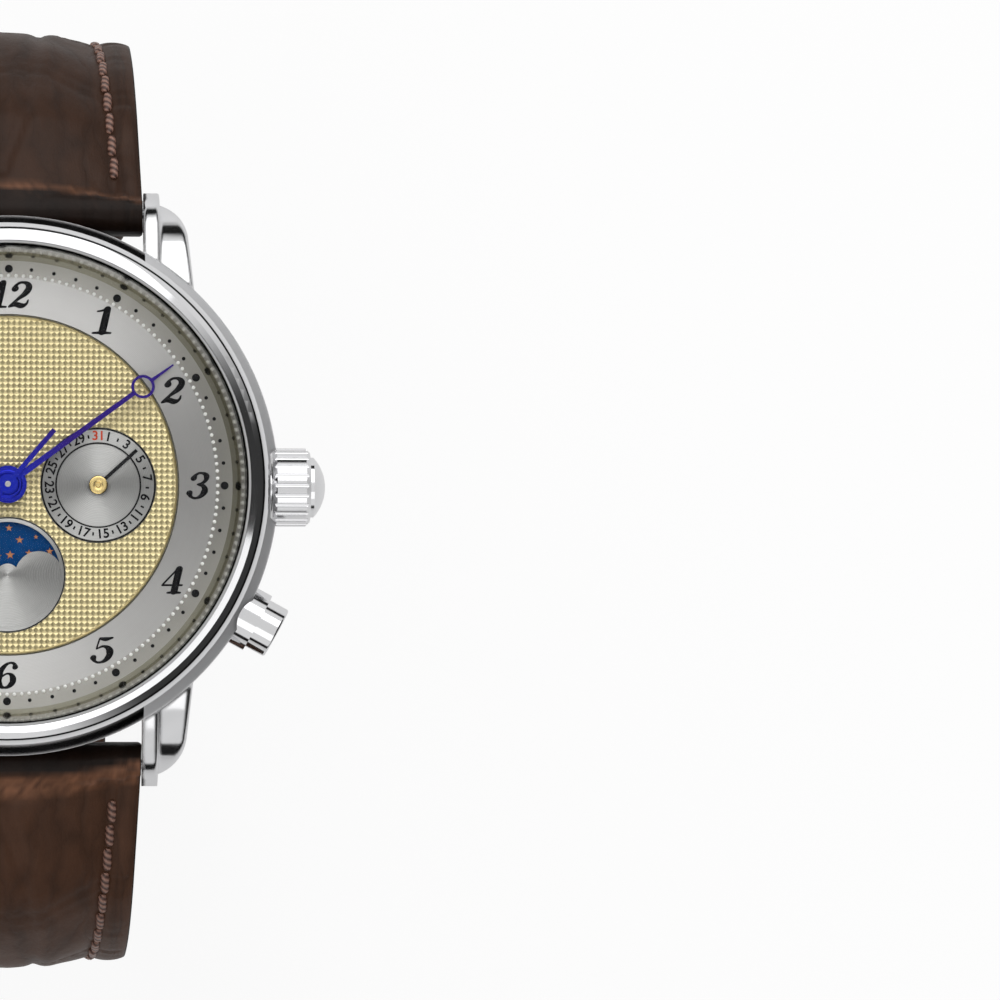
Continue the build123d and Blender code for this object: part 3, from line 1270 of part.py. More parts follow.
pusher_head_r = PUSHER_TUBE_R - PUSHER_TUBE_WALL - 2 * RUNNING_GAP
pusher_head_at = PUSHER_HEAD_END - PUSHER_HEAD_L
with BuildPart() as pusher_button:
    with BuildSketch(pusher_plane(pusher_head_at)):
        Circle(pusher_head_r)
    extrude(amount=PUSHER_HEAD_L)
    head_edges = pusher_button.edges().filter_by(GeomType.CIRCLE)
    fillet(head_edges.sort_by(Axis(pusher_middle, pusher_way))[-1], PUSHER_HEAD_FILLET)
    with BuildSketch(pusher_plane(pusher_head_at)):
        Circle(PUSHER_HOLLOW_R)
    extrude(amount=PUSHER_HOLLOW_L, mode=Mode.SUBTRACT)
    with BuildSketch(pusher_plane(PUSHER_STEM_END_R)):
        Circle(PUSHER_STEM_R)
    extrude(amount=pusher_head_at + PUSHER_HOLLOW_L - PUSHER_STEM_END_R)
    with BuildSketch(pusher_plane(CLIP_GROOVE_SEAT_R - CLIP_T / 2 - SEAT_GAP)):
        Circle(PUSHER_STEM_R)
        Circle(CLIP_GROOVE_R, mode=Mode.SUBTRACT)
    extrude(amount=CLIP_T + 2 * SEAT_GAP, mode=Mode.SUBTRACT)
pusher_button.part.label = "pusher_button"
export_step(pusher_button.part, "parts/pusher_button.step")

with BuildPart() as pusher_clip:
    with BuildSketch(pusher_plane(CLIP_GROOVE_SEAT_R - CLIP_T / 2)):
        Circle(CLIP_R)
        Circle(CLIP_GROOVE_R + SEAT_GAP, mode=Mode.SUBTRACT)
        Rectangle(CLIP_R, CLIP_MOUTH_W, align=(Align.MIN, Align.CENTER), mode=Mode.SUBTRACT)
    extrude(amount=CLIP_T)
pusher_clip.part.label = "pusher_clip"
export_step(pusher_clip.part, "parts/pusher_clip.step")

# The spring has its pressed length and hangs from the button's hollow
spring_room = pusher_head_at + PUSHER_HOLLOW_L - pusher_floor_at - PUSHER_TRAVEL
spring_rise = spring_room - 2 * (PUSHER_SPRING_WIRE_R + SEAT_GAP)
spring_start = pusher_floor_at + PUSHER_TRAVEL + PUSHER_SPRING_WIRE_R + SEAT_GAP
with BuildPart() as pusher_spring:
    with BuildLine() as spring_path:
        Helix(
            spring_rise / PUSHER_SPRING_TURNS,
            spring_rise,
            PUSHER_SPRING_R,
            center=pusher_middle + pusher_way * spring_start,
            direction=pusher_way,
        )
    with BuildSketch(spring_path.line ^ 0):
        RegularPolygon(PUSHER_SPRING_WIRE_R, 6)
    sweep(is_frenet=True)
pusher_spring.part.label = "pusher_spring"
export_step(pusher_spring.part, "parts/pusher_spring.step")


# Strap halves, each following its own line of straight runs and tangent bends
def strap_point(runs, distance):
    """How far out, how high and how steep the strap's centre line is at a distance from its bar."""
    out, high, dip = SPRING_BAR_Y, SPRING_BAR_Z, STRAP_DIP
    left = distance
    for length, bend_r in runs:
        run = min(left, length)
        if bend_r:
            end_dip = dip + run / bend_r / radians(1)
            out += bend_r * (sin(radians(end_dip)) - sin(radians(dip)))
            high -= bend_r * (cos(radians(dip)) - cos(radians(end_dip)))
            dip = end_dip
        else:
            out += run * cos(radians(dip))
            high -= run * sin(radians(dip))
        left -= run
    return out, high, dip


def strap_plane(runs, distance, side):
    """The plane square to a strap half: local X across it, local Y away from the wrist, Z to its end."""
    out, high, dip = strap_point(runs, distance)
    along = (0, side * cos(radians(dip)), -sin(radians(dip)))
    return Plane(origin=(0, side * out, high), x_dir=(-side, 0, 0), z_dir=along)


def cross_plane(plane, across):
    """A plane square to the strap's width: local X to the strap's end, local Y away from the wrist."""
    return Plane(origin=plane.origin + plane.x_dir * across, x_dir=plane.z_dir, z_dir=-plane.x_dir)


def strap_size(distance, lug_size, end_size, length):
    """A strap size that changes evenly from the lugs to a distance along the strap."""
    return lug_size + (end_size - lug_size) * min(distance / length, 1)


def crown_height(distance):
    """The padded crown swells from the rolled end and dies out along the strap."""
    if distance < STRAP_SWELL_L:
        return strap_size(distance, STRAP_ROLL_R, STRAP_CROWN, STRAP_SWELL_L)
    return strap_size(
        distance - STRAP_SWELL_L, STRAP_CROWN, STRAP_END_CROWN, STRAP_PAD_L - STRAP_SWELL_L
    )


def strap_sections(runs, length, side, point_l):
    """The sections of a strap half: flat lining, upright edges and a crowned top."""
    steps = round(length / STRAP_STEP)
    sections = []
    for step in range(steps + 1):
        distance = length * step / steps
        half_w = strap_size(distance, STRAP_W, STRAP_END_W, STRAP_TAPER_L) / 2
        left = length - distance
        if left < point_l:
            half_w *= TAIL_POINT_SHARE + (1 - TAIL_POINT_SHARE) * sin(radians(90) * left / point_l)
        lining = strap_size(distance, STRAP_LINING, STRAP_END_LINING, STRAP_PAD_L)
        edge = strap_size(distance, STRAP_EDGE, STRAP_END_EDGE, STRAP_PAD_L)
        with BuildSketch(strap_plane(runs, distance, side)) as section:
            with BuildLine():
                Polyline((-half_w, edge), (-half_w, -lining), (half_w, -lining), (half_w, edge))
                ThreePointArc((half_w, edge), (0, crown_height(distance)), (-half_w, edge))
            make_face()
        sections.append(section.sketch)
    return sections


bend_l = STRAP_BEND_R * radians(90 - STRAP_DIP)
curl_l = STRAP_CURL_R * radians(90)
upper_runs = [(STRAP_LEAD, None), (bend_l, STRAP_BEND_R), (UPPER_L, STRAP_CURL_R)]
lower_runs = [
    (STRAP_LEAD, None),
    (bend_l, STRAP_BEND_R),
    (LOWER_DROP, None),
    (curl_l, STRAP_CURL_R),
    (LOWER_L, None),
]
upper_bar_plane = strap_plane(upper_runs, 0, 1)
lower_bar_plane = strap_plane(lower_runs, 0, -1)
buckle_plane = strap_plane(upper_runs, UPPER_L, 1)

with BuildPart() as strap_upper:
    loft(strap_sections(upper_runs, UPPER_L, 1, 0))
    with BuildSketch(cross_plane(upper_bar_plane, STRAP_W / 2)):
        Circle(STRAP_ROLL_R)
    extrude(amount=STRAP_W)
    with BuildSketch(cross_plane(buckle_plane, STRAP_END_W / 2)):
        Circle(BUCKLE_ROLL_R)
    extrude(amount=STRAP_END_W)
    with BuildSketch(cross_plane(upper_bar_plane, STRAP_W / 2)):
        Circle(SPRING_BAR_R + RUNNING_GAP)
    extrude(amount=STRAP_W, mode=Mode.SUBTRACT)
    with BuildSketch(cross_plane(buckle_plane, STRAP_END_W / 2)):
        Circle(BUCKLE_BAR_R + SEAT_GAP)
    extrude(amount=STRAP_END_W, mode=Mode.SUBTRACT)
    with BuildSketch(cross_plane(buckle_plane, TONGUE_SLOT_W / 2)):
        with Locations((-TONGUE_SLOT_L, 0)):
            Rectangle(TONGUE_SLOT_L + OVERRUN, 2 * OVERRUN, align=(Align.MIN, Align.CENTER))
    extrude(amount=TONGUE_SLOT_W, mode=Mode.SUBTRACT)
strap_upper.part.label = "strap_upper"
export_step(strap_upper.part, "parts/strap_upper.step")

with BuildPart() as strap_lower:
    loft(strap_sections(lower_runs, LOWER_L, -1, TAIL_POINT_L))
    with BuildSketch(cross_plane(lower_bar_plane, STRAP_W / 2)):
        Circle(STRAP_ROLL_R)
    extrude(amount=STRAP_W)
    with BuildSketch(cross_plane(lower_bar_plane, STRAP_W / 2)):
        Circle(SPRING_BAR_R + RUNNING_GAP)
    extrude(amount=STRAP_W, mode=Mode.SUBTRACT)
    for hole in range(TAIL_HOLES):
        across = strap_plane(lower_runs, LOWER_L - TAIL_HOLE_FIRST - hole * TAIL_HOLE_PITCH, -1)
        with BuildSketch(Plane(origin=across.origin, x_dir=across.x_dir, z_dir=across.y_dir)):
            Circle(TAIL_HOLE_R)
        extrude(amount=OVERRUN, both=True, mode=Mode.SUBTRACT)
strap_lower.part.label = "strap_lower"
export_step(strap_lower.part, "parts/strap_lower.step")


# Spring bars and the buckle's bar: a barrel with a thinner pin at each end
def pin_bar(plane, barrel_r, barrel_l, pin_r, pin_l):
    """A bar that lies across the strap on a plane's origin."""
    with BuildPart() as bar:
        with BuildSketch(cross_plane(plane, barrel_l / 2)):
            Circle(barrel_r)
        extrude(amount=barrel_l)
        with BuildSketch(cross_plane(plane, barrel_l / 2 + pin_l)):
            Circle(pin_r)
        extrude(amount=barrel_l + 2 * pin_l)
    return bar


spring_bar_l = LUG_GAP - 2 * FREE_GAP
spring_pin_l = SPRING_BAR_TIP_L + FREE_GAP - SEAT_GAP
spring_bar_upper = pin_bar(
    upper_bar_plane, SPRING_BAR_R, spring_bar_l, SPRING_BAR_TIP_R, spring_pin_l
)
spring_bar_upper.part.label = "spring_bar_upper"
export_step(spring_bar_upper.part, "parts/spring_bar_upper.step")

spring_bar_lower = pin_bar(
    lower_bar_plane, SPRING_BAR_R, spring_bar_l, SPRING_BAR_TIP_R, spring_pin_l
)
spring_bar_lower.part.label = "spring_bar_lower"
export_step(spring_bar_lower.part, "parts/spring_bar_lower.step")

buckle_gap_w = STRAP_END_W + 2 * SOFT_GAP
buckle_bar = pin_bar(
    buckle_plane, BUCKLE_BAR_R, STRAP_END_W + SOFT_GAP, BUCKLE_TIP_R, BUCKLE_TIP_L + SOFT_GAP / 2
)
buckle_bar.part.label = "buckle_bar"
export_step(buckle_bar.part, "parts/buckle_bar.step")

# Buckle frame: two arms and a rounded front bar, drawn in the strap's own plane with local Y to its end
buckle_face = Plane(
    origin=buckle_plane.origin + buckle_plane.y_dir * (BUCKLE_T / 2),
    x_dir=buckle_plane.x_dir,
    z_dir=-buckle_plane.y_dir,
)
buckle_w = buckle_gap_w + 2 * BUCKLE_ARM_W
buckle_front = BUCKLE_REACH + BUCKLE_FRONT_W
with BuildPart() as buckle_frame:
    with BuildSketch(buckle_face):
        RectangleRounded(buckle_w, 2 * buckle_front, BUCKLE_CORNER_R)
        with Locations((0, -BUCKLE_HEEL)):
            Rectangle(buckle_w, buckle_front, align=(Align.CENTER, Align.MAX), mode=Mode.SUBTRACT)
        with Locations((0, BUCKLE_REACH)):
            Rectangle(
                buckle_gap_w, 2 * buckle_front, align=(Align.CENTER, Align.MAX), mode=Mode.SUBTRACT
            )
    extrude(amount=BUCKLE_T)
    buckle_top = buckle_frame.faces().sort_by(Axis(buckle_plane.origin, buckle_plane.y_dir))[-1]
    fillet(buckle_top.edges(), BUCKLE_FILLET)
    with BuildSketch(cross_plane(buckle_plane, buckle_gap_w / 2 + BUCKLE_TIP_L + RUNNING_GAP)):
        Circle(BUCKLE_TIP_R + RUNNING_GAP)
    extrude(amount=buckle_gap_w + 2 * (BUCKLE_TIP_L + RUNNING_GAP), mode=Mode.SUBTRACT)
buckle_frame.part.label = "buckle_frame"
export_step(buckle_frame.part, "parts/buckle_frame.step")

# Tongue: a ring round the buckle's bar and a tapered blade that rests on the front bar
tongue_low = BUCKLE_T / 2 + RUNNING_GAP
tongue_end = buckle_front + TONGUE_OVERHANG
with BuildPart() as buckle_tongue:
    with BuildSketch(cross_plane(buckle_plane, TONGUE_W / 2)):
        Circle(TONGUE_RING_R)
        with BuildLine():
            Polyline(
                (0, 0),
                (0, TONGUE_RING_R),
                (BUCKLE_REACH, tongue_low + TONGUE_T),
                (tongue_end, tongue_low + TONGUE_T / 2),
                (tongue_end, tongue_low),
                (BUCKLE_REACH, tongue_low),
                close=True,
            )
        make_face()
        Circle(BUCKLE_BAR_R + RUNNING_GAP, mode=Mode.SUBTRACT)
    extrude(amount=TONGUE_W)
buckle_tongue.part.label = "buckle_tongue"
export_step(buckle_tongue.part, "parts/buckle_tongue.step")


# Keepers: closed leather loops round the strap, with room for the tail on top
def keeper(distance):
    """A keeper whose middle is at a distance from the spring bar."""
    low = -STRAP_END_LINING - SOFT_GAP
    high = STRAP_END_CROWN + KEEPER_ROOM
    middle = (low + high) / 2
    with BuildPart() as loop:
        with BuildSketch(strap_plane(upper_runs, distance, 1)):
            with Locations((0, middle)):
                RectangleRounded(
                    STRAP_END_W + 2 * (SOFT_GAP + KEEPER_T), high - low + 2 * KEEPER_T, KEEPER_T
                )
                Rectangle(STRAP_END_W + 2 * SOFT_GAP, high - low, mode=Mode.SUBTRACT)
        extrude(amount=KEEPER_W / 2, both=True)
    return loop


keeper_fixed = keeper(UPPER_L - FIXED_KEEPER_L)
keeper_fixed.part.label = "keeper_fixed"
export_step(keeper_fixed.part, "parts/keeper_fixed.step")

keeper_free = keeper(UPPER_L - FREE_KEEPER_L)
keeper_free.part.label = "keeper_free"
export_step(keeper_free.part, "parts/keeper_free.step")
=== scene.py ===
"""A steel wristwatch with a moon phase, seen from straight above its dial."""

import bmesh
import bpy
from math import atan2, cos, degrees, exp, hypot, pi, radians, sin, tau
from mathutils import Matrix, Vector, noise


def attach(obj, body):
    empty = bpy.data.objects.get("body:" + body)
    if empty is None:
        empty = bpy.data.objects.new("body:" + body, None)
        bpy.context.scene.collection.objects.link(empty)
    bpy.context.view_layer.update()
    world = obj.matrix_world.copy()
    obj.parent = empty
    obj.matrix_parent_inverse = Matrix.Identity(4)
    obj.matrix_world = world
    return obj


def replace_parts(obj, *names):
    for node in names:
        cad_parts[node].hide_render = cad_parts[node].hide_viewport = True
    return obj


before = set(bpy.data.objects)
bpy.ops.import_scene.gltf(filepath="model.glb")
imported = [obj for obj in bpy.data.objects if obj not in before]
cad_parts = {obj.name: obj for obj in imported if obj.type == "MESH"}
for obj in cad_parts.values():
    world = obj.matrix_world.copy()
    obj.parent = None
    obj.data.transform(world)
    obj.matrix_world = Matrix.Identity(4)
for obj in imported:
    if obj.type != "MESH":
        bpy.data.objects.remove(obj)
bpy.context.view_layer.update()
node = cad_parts
MM = 0.001


# Camera. It stands 470 mm above the dial, leaning three degrees towards 6 o'clock, and looks at a
# point beside the case, so that the left half of the watch is outside the picture.
camera_height = 470 * MM
camera_lean = radians(3)
dial_level = 6.5 * MM
look_at = Vector((39.48, -1.05, 6.5)) * MM
camera_data = bpy.data.cameras.new("camera")
camera_data.lens = 210.9
camera_data.sensor_width = 36
camera_data.clip_start = 0.01
camera = bpy.data.objects.new("camera", camera_data)
bpy.context.scene.collection.objects.link(camera)
camera.location = (
    0,
    -camera_height * sin(camera_lean),
    dial_level + camera_height * cos(camera_lean),
)
forward = (look_at - camera.location).normalized()
sideways = forward.cross(Vector((0, 1, 0))).normalized()
upwards = sideways.cross(forward)
camera.rotation_mode = "QUATERNION"
camera.rotation_quaternion = Matrix((sideways, upwards, -forward)).transposed().to_quaternion()
bpy.context.scene.camera = camera
bpy.context.scene.view_settings.view_transform = "Standard"


# Studio. A white paper sweep lies under the strap, and the room round it is white. A thin dark
# band above the horizon, and black flags to the right and the left, draw the black lines and
# crescents that polished steel shows.
def add(tree, kind, given=None, **settings):
    """A node of a kind with its settings, and its inputs as sockets to link or plain values."""
    made = tree.nodes.new(kind)
    for name, value in settings.items():
        setattr(made, name, value)
    for slot, value in (given or {}).items():
        if isinstance(value, bpy.types.NodeSocket):
            tree.links.new(value, made.inputs[slot])
        elif value is not None:
            colour = made.inputs[slot].type == "RGBA"
            made.inputs[slot].default_value = (*value, 1) if colour else value
    return made


def sum_node(tree, operation, first, second=None, third=None):
    """The result of a Math node between sockets or plain numbers."""
    given = {0: first, 1: second, 2: third}
    return add(tree, "ShaderNodeMath", given, operation=operation).outputs[0]


def step_node(tree, value, start, end):
    """A smooth step from 0 at the start to 1 at the end."""
    given = {"Value": value, "From Min": start, "From Max": end}
    step = add(tree, "ShaderNodeMapRange", given, interpolation_type="SMOOTHSTEP")
    return step.outputs["Result"]


def mix_node(tree, share, first, second, blend="MIX"):
    """The colour between two sockets or colours."""
    given = {"Factor": share, "A": first, "B": second}
    mixed = add(tree, "ShaderNodeMix", given, data_type="RGBA", blend_type=blend)
    return mixed.outputs["Result"]


def mix_shader(tree, share, first, second):
    """A Mix Shader node between two shader nodes."""
    given = {0: share, 1: first.outputs[0], 2: second.outputs[0]}
    return add(tree, "ShaderNodeMixShader", given)


def ramp_node(tree, share, stops, blend="LINEAR"):
    """The colour of a Color Ramp node through stops of a place and a colour."""
    made = add(tree, "ShaderNodeValToRGB", {"Fac": share})
    made.color_ramp.interpolation = blend
    while len(made.color_ramp.elements) < len(stops):
        made.color_ramp.elements.new(0.5)
    for stop, (place, colour) in zip(made.color_ramp.elements, stops):
        stop.position = place
        stop.color = (*colour, 1)
    return made.outputs["Color"]


floor_paper = bpy.data.materials.new("floor_paper")
floor_paper.use_nodes = True
tree = floor_paper.node_tree
tree.nodes.clear()
paper = add(tree, "ShaderNodeBsdfDiffuse", {"Color": (0.86, 0.86, 0.86)})
glow = add(tree, "ShaderNodeEmission", {"Color": (1, 1, 1), "Strength": 1.02})
ray = add(tree, "ShaderNodeLightPath").outputs
seen = sum_node(tree, "MAXIMUM", ray["Is Camera Ray"], ray["Is Transmission Ray"])
sweep = mix_shader(tree, sum_node(tree, "MULTIPLY", seen, 0.85), paper, glow)
add(tree, "ShaderNodeOutputMaterial", {"Surface": sweep.outputs[0]})

floor_half_width = 2.5
floor_drop = 78 * MM
sheet = bmesh.new()
bmesh.ops.create_grid(sheet, x_segments=1, y_segments=1, size=floor_half_width)
bmesh.ops.translate(sheet, verts=sheet.verts, vec=(0, 0, -floor_drop))
floor_mesh = bpy.data.meshes.new("floor")
sheet.to_mesh(floor_mesh)
sheet.free()
floor_mesh.materials.append(floor_paper)
floor = bpy.data.objects.new("floor", floor_mesh)
bpy.context.scene.collection.objects.link(floor)

room = bpy.data.worlds.new("room")
bpy.context.scene.world = room
room.use_nodes = True
tree = room.node_tree
tree.nodes.clear()
heading = add(tree, "ShaderNodeTexCoord").outputs["Generated"]
way = add(tree, "ShaderNodeSeparateXYZ", {0: heading}).outputs
half = sum_node(tree, "MULTIPLY_ADD", way["Z"], 0.5, 0.5)
heights = [(0.0, 0.75), (0.487, 0.75), (0.503, 0.01), (0.6, 0.01), (0.64, 0.85), (1.0, 0.8)]
bands = ramp_node(tree, half, [(height, (light,) * 3) for height, light in heights], "EASE")
flag_east, flag_north = 0.94, -0.34
flag_way = sum_node(tree, "MULTIPLY_ADD", way["Y"], flag_north, 0.0)
flag_way = sum_node(tree, "MULTIPLY_ADD", way["X"], flag_east, flag_way)
flag_way = sum_node(tree, "ABSOLUTE", flag_way)
level_run = sum_node(tree, "MULTIPLY", way["X"], way["X"])
level_run = sum_node(tree, "MULTIPLY_ADD", way["Y"], way["Y"], level_run)
level_run = sum_node(tree, "SQRT", sum_node(tree, "ADD", level_run, 0.0004))
facing_flag = step_node(tree, sum_node(tree, "DIVIDE", flag_way, level_run), 0.45, 0.85)
flag_foot = step_node(tree, half, 0.48, 0.5)
flag_top = step_node(tree, half, 0.985, 0.955)
flag = sum_node(tree, "MULTIPLY", sum_node(tree, "MULTIPLY", facing_flag, flag_foot), flag_top)
flag_black = -0.95
shade = sum_node(tree, "MULTIPLY_ADD", flag, flag_black, 1.0)
walls = mix_node(tree, 1.0, bands, shade, "MULTIPLY")
mirrored = add(tree, "ShaderNodeBackground", {"Color": walls, "Strength": 1.0})
overhead = sum_node(tree, "MULTIPLY_ADD", sum_node(tree, "MAXIMUM", way["Z"], 0.0), 0.7, 0.16)
soft_light = sum_node(tree, "MULTIPLY_ADD", way["Y"], 0.16, overhead)
plain = add(tree, "ShaderNodeBackground", {"Color": (1, 1, 1), "Strength": soft_light})
backdrop = add(tree, "ShaderNodeBackground", {"Color": (1, 1, 1), "Strength": 1.0})
ray = add(tree, "ShaderNodeLightPath").outputs
lit = mix_shader(tree, ray["Is Glossy Ray"], plain, mirrored)
seen = mix_shader(tree, ray["Is Camera Ray"], lit, backdrop)
add(tree, "ShaderNodeOutputWorld", {"Surface": seen.outputs[0]})


def soft_lamp(name, place, width, watts):
    """A soft window that faces the watch."""
    lamp_data = bpy.data.lights.new(name, "AREA")
    lamp_data.shape = "RECTANGLE"
    lamp_data.size = width
    lamp_data.size_y = width * 0.7
    lamp_data.energy = watts
    lamp = bpy.data.objects.new(name, lamp_data)
    bpy.context.scene.collection.objects.link(lamp)
    lamp.location = place
    lamp.rotation_euler = (-Vector(place)).to_track_quat("-Z", "Y").to_euler()


soft_lamp("window_behind", (-0.15, 0.6, 0.65), 1.3, 4.4)
soft_lamp("window_front", (-0.1, -0.45, 0.75), 0.6, 0.5)


# Case back: a pressed-in steel lid with wrench notches, brushed in circles, and the rubber seal
# round its spigot.
def mapped(tree, vector, **changes):
    """A vector moved, turned or scaled by a Mapping node."""
    return add(tree, "ShaderNodeMapping", {"Vector": vector, **changes}).outputs["Vector"]


def finish(name, colour, metallic=0.0, roughness=0.4, specular=0.5):
    """A material of one shader, and the socket that gives the object's place in millimetres."""
    material = bpy.data.materials.new(name)
    material.use_nodes = True
    tree = material.node_tree
    shader = tree.nodes["Principled BSDF"]
    shader.inputs["Base Color"].default_value = (*colour, 1)
    shader.inputs["Metallic"].default_value = metallic
    shader.inputs["Roughness"].default_value = roughness
    shader.inputs["Specular IOR Level"].default_value = specular
    place = add(tree, "ShaderNodeTexCoord").outputs["Object"]
    return material, tree, shader, mapped(tree, place, Scale=(1000, 1000, 1000))


def new_group(name, inputs, outputs):
    """An empty shader group with named sockets: its tree, and its input and output nodes."""
    group = bpy.data.node_groups.new(name, "ShaderNodeTree")
    for socket, kind, start in inputs:
        made = group.interface.new_socket(name=socket, in_out="INPUT", socket_type=kind)
        if start is not None:
            made.default_value = start
    for socket, kind in outputs:
        group.interface.new_socket(name=socket, in_out="OUTPUT", socket_type=kind)
    return group, group.nodes.new("NodeGroupInput"), group.nodes.new("NodeGroupOutput")


def noise_node(tree, vector, scale, detail=2.0, roughness=0.5):
    """The value of a Noise node over a vector."""
    given = {"Vector": vector, "Scale": scale, "Detail": detail, "Roughness": roughness}
    return add(tree, "ShaderNodeTexNoise", given).outputs["Fac"]


def handling_group():
    """Smears, specks and hairline scratches that any handled surface has."""
    group, given, made = new_group(
        "handling",
        [
            ("Vector", "NodeSocketVector", None),
            ("Smooth", "NodeSocketFloat", 0.1),
            ("Rough", "NodeSocketFloat", 0.2),
        ],
        [("Roughness", "NodeSocketFloat"), ("Height", "NodeSocketFloat")],
    )
    vector, smooth, rough = (given.outputs[name] for name in ("Vector", "Smooth", "Rough"))
    smears = noise_node(group, vector, 0.35, 4.0, 0.6)
    stretched = mapped(group, vector, Rotation=(0.3, 0.2, 0.7), Scale=(14, 0.6, 1))
    hairs = noise_node(group, stretched, 1.0, 3.0, 0.7)
    both = sum_node(group, "MULTIPLY_ADD", hairs, 0.35, smears)
    span = sum_node(group, "SUBTRACT", rough, smooth)
    level = sum_node(group, "MULTIPLY_ADD", both, span, smooth)
    group.links.new(level, made.inputs["Roughness"])
    group.links.new(hairs, made.inputs["Height"])
    return group


handling = handling_group()


def relief(tree, shader, height, strength, depth):
    """A Bump node on a shader: depth is in millimetres."""
    given = {"Height": height, "Strength": strength, "Distance": depth * MM}
    bump = add(tree, "ShaderNodeBump", given)
    tree.links.new(bump.outputs["Normal"], shader.inputs["Normal"])


def handled(tree, shader, vector, smooth, rough, bump=0.0):
    """Gives a material the marks of handling, between two roughnesses."""
    given = {"Vector": vector, "Smooth": smooth, "Rough": rough}
    marks = add(tree, "ShaderNodeGroup", given, node_tree=handling).outputs
    tree.links.new(marks["Roughness"], shader.inputs["Roughness"])
    if bump:
        relief(tree, shader, marks["Height"], bump, 0.002)
    return marks["Roughness"]


def handled_finish(name, colour, metallic, roughness, smooth, rough, bump=0.0, specular=0.5):
    """A material of one colour with the marks of handling."""
    material, tree, shader, spot = finish(name, colour, metallic, roughness, specular)
    handled(tree, shader, spot, smooth, rough, bump)
    return material


def turning_group():
    """Fine rings round a centre, and two bright fans of painted sheen, as light lays them on turned
    metal.
    """
    group, given, made = new_group(
        "turning",
        [
            ("Vector", "NodeSocketVector", None),
            ("Rings", "NodeSocketFloat", 6.0),
            ("Painted_fan", "NodeSocketFloat", 0.5),
        ],
        [("Height", "NodeSocketFloat"), ("Painted_fans", "NodeSocketFloat"), ("Radius", "NodeSocketFloat")],
    )
    flat = add(group, "ShaderNodeSeparateXYZ", {0: given.outputs["Vector"]}).outputs
    across = sum_node(group, "MULTIPLY", flat["X"], flat["X"])
    along = sum_node(group, "MULTIPLY", flat["Y"], flat["Y"])
    square = sum_node(group, "ADD", across, along)
    radius = sum_node(group, "SQRT", square)
    wave = sum_node(group, "SINE", sum_node(group, "MULTIPLY", radius, given.outputs["Rings"]))
    only_radius = add(group, "ShaderNodeCombineXYZ", {"X": radius}).outputs[0]
    random_rings = noise_node(group, only_radius, 3.0, 5.0, 0.7)
    height = sum_node(group, "MULTIPLY_ADD", wave, 0.5, random_rings)
    safe = sum_node(group, "MAXIMUM", square, 0.001)
    upright = sum_node(group, "POWER", sum_node(group, "DIVIDE", along, safe), 1.6)
    fans = sum_node(group, "MULTIPLY", upright, given.outputs["Painted_fan"])
    for value, socket in ((height, "Height"), (fans, "Painted_fans"), (radius, "Radius")):
        group.links.new(value, made.inputs[socket])
    return group


turning = turning_group()


def turned(tree, shader, vector, rings, painted_fan, dark, light, centre=(0, 0), bump=0.3, depth=0.006):
    """Turned metal, dark to light, with painted sheen: the distance from its centre in millimetres,
    its colour.
    """
    middle = mapped(tree, vector, Location=(-centre[0], -centre[1], 0))
    given = {"Vector": middle, "Rings": rings, "Painted_fan": painted_fan}
    lathe = add(tree, "ShaderNodeGroup", given, node_tree=turning).outputs
    shade = sum_node(tree, "MULTIPLY_ADD", lathe["Height"], 0.25, lathe["Painted_fans"])
    tones = mix_node(tree, shade, dark, light)
    tree.links.new(tones, shader.inputs["Base Color"])
    relief(tree, shader, lathe["Height"], bump, depth)
    return lathe["Radius"], tones


def dress(material, *names):
    """Puts a material on CAD nodes in place of their plain one."""
    for name in names:
        node[name].data.materials.clear()
        node[name].data.materials.append(material)


back_steel, tree, shader, spot = finish("back_steel", (0.62, 0.62, 0.63), 1.0, 0.28)
# Painted sheen: the turning lays two bright fans into the lid's colour.
turned(tree, shader, spot, 9.0, 0.25, (0.5, 0.5, 0.51), (0.72, 0.72, 0.73), bump=0.2)
handled(tree, shader, spot, 0.2, 0.36)
dress(back_steel, "case_back")

seal_rubber = handled_finish("seal_rubber", (0.018, 0.018, 0.02), 0.0, 0.6, 0.45, 0.7, 0.2)
dress(seal_rubber, "case_back_gasket", "crown_gasket")


# Case middle: one steel forging with its four lugs. The shoulder round the bezel is satin, and the
# flank and the lugs are polished. Between the lugs the shoulder's colour is darkened: a painted
# reflection of the dark strap. The spring bars that hold the strap are plain steel.
shoulder_radius = 21.6
belt_top = 6.2
lug_gap_half = 10.9
case_steel, tree, shader, spot = finish("case_steel", (0.78, 0.78, 0.79), 1.0, 0.07)
# Painted sheen: the turning lays two faint bright fans into the steel's colour.
radius, tones = turned(
    tree, shader, spot, 3.0, 0.1, (0.68, 0.68, 0.69), (0.78, 0.78, 0.79), bump=0.0
)
worn_edges = add(tree, "ShaderNodeBevel", {"Radius": 0.5 * MM}, samples=8)
tree.links.new(worn_edges.outputs["Normal"], shader.inputs["Normal"])
in_shoulder = sum_node(tree, "LESS_THAN", radius, shoulder_radius)
flat = add(tree, "ShaderNodeSeparateXYZ", {0: spot}).outputs
above_belt = sum_node(tree, "GREATER_THAN", flat["Z"], belt_top)
beside_strap = sum_node(tree, "ABSOLUTE", flat["X"])
outside_lugs = sum_node(tree, "GREATER_THAN", beside_strap, lug_gap_half)
satin = sum_node(tree, "MULTIPLY", in_shoulder, above_belt)
satin = sum_node(tree, "MULTIPLY", satin, outside_lugs)
between_lugs = sum_node(tree, "SUBTRACT", 1.0, outside_lugs)
strap_reflection_zone = sum_node(tree, "MULTIPLY", in_shoulder, between_lugs)
# Painted reflection: the shoulder between the lugs is darkened, as if it mirrored the strap.
painted_strap_reflection = mix_node(tree, strap_reflection_zone, tones, (0.36, 0.35, 0.35), "MULTIPLY")
tree.links.new(painted_strap_reflection, shader.inputs["Base Color"])
polish = handled(tree, shader, spot, 0.04, 0.12)
rougher = sum_node(tree, "MULTIPLY_ADD", satin, 0.5, polish)
tree.links.new(rougher, shader.inputs["Roughness"])
dress(case_steel, "case_middle")

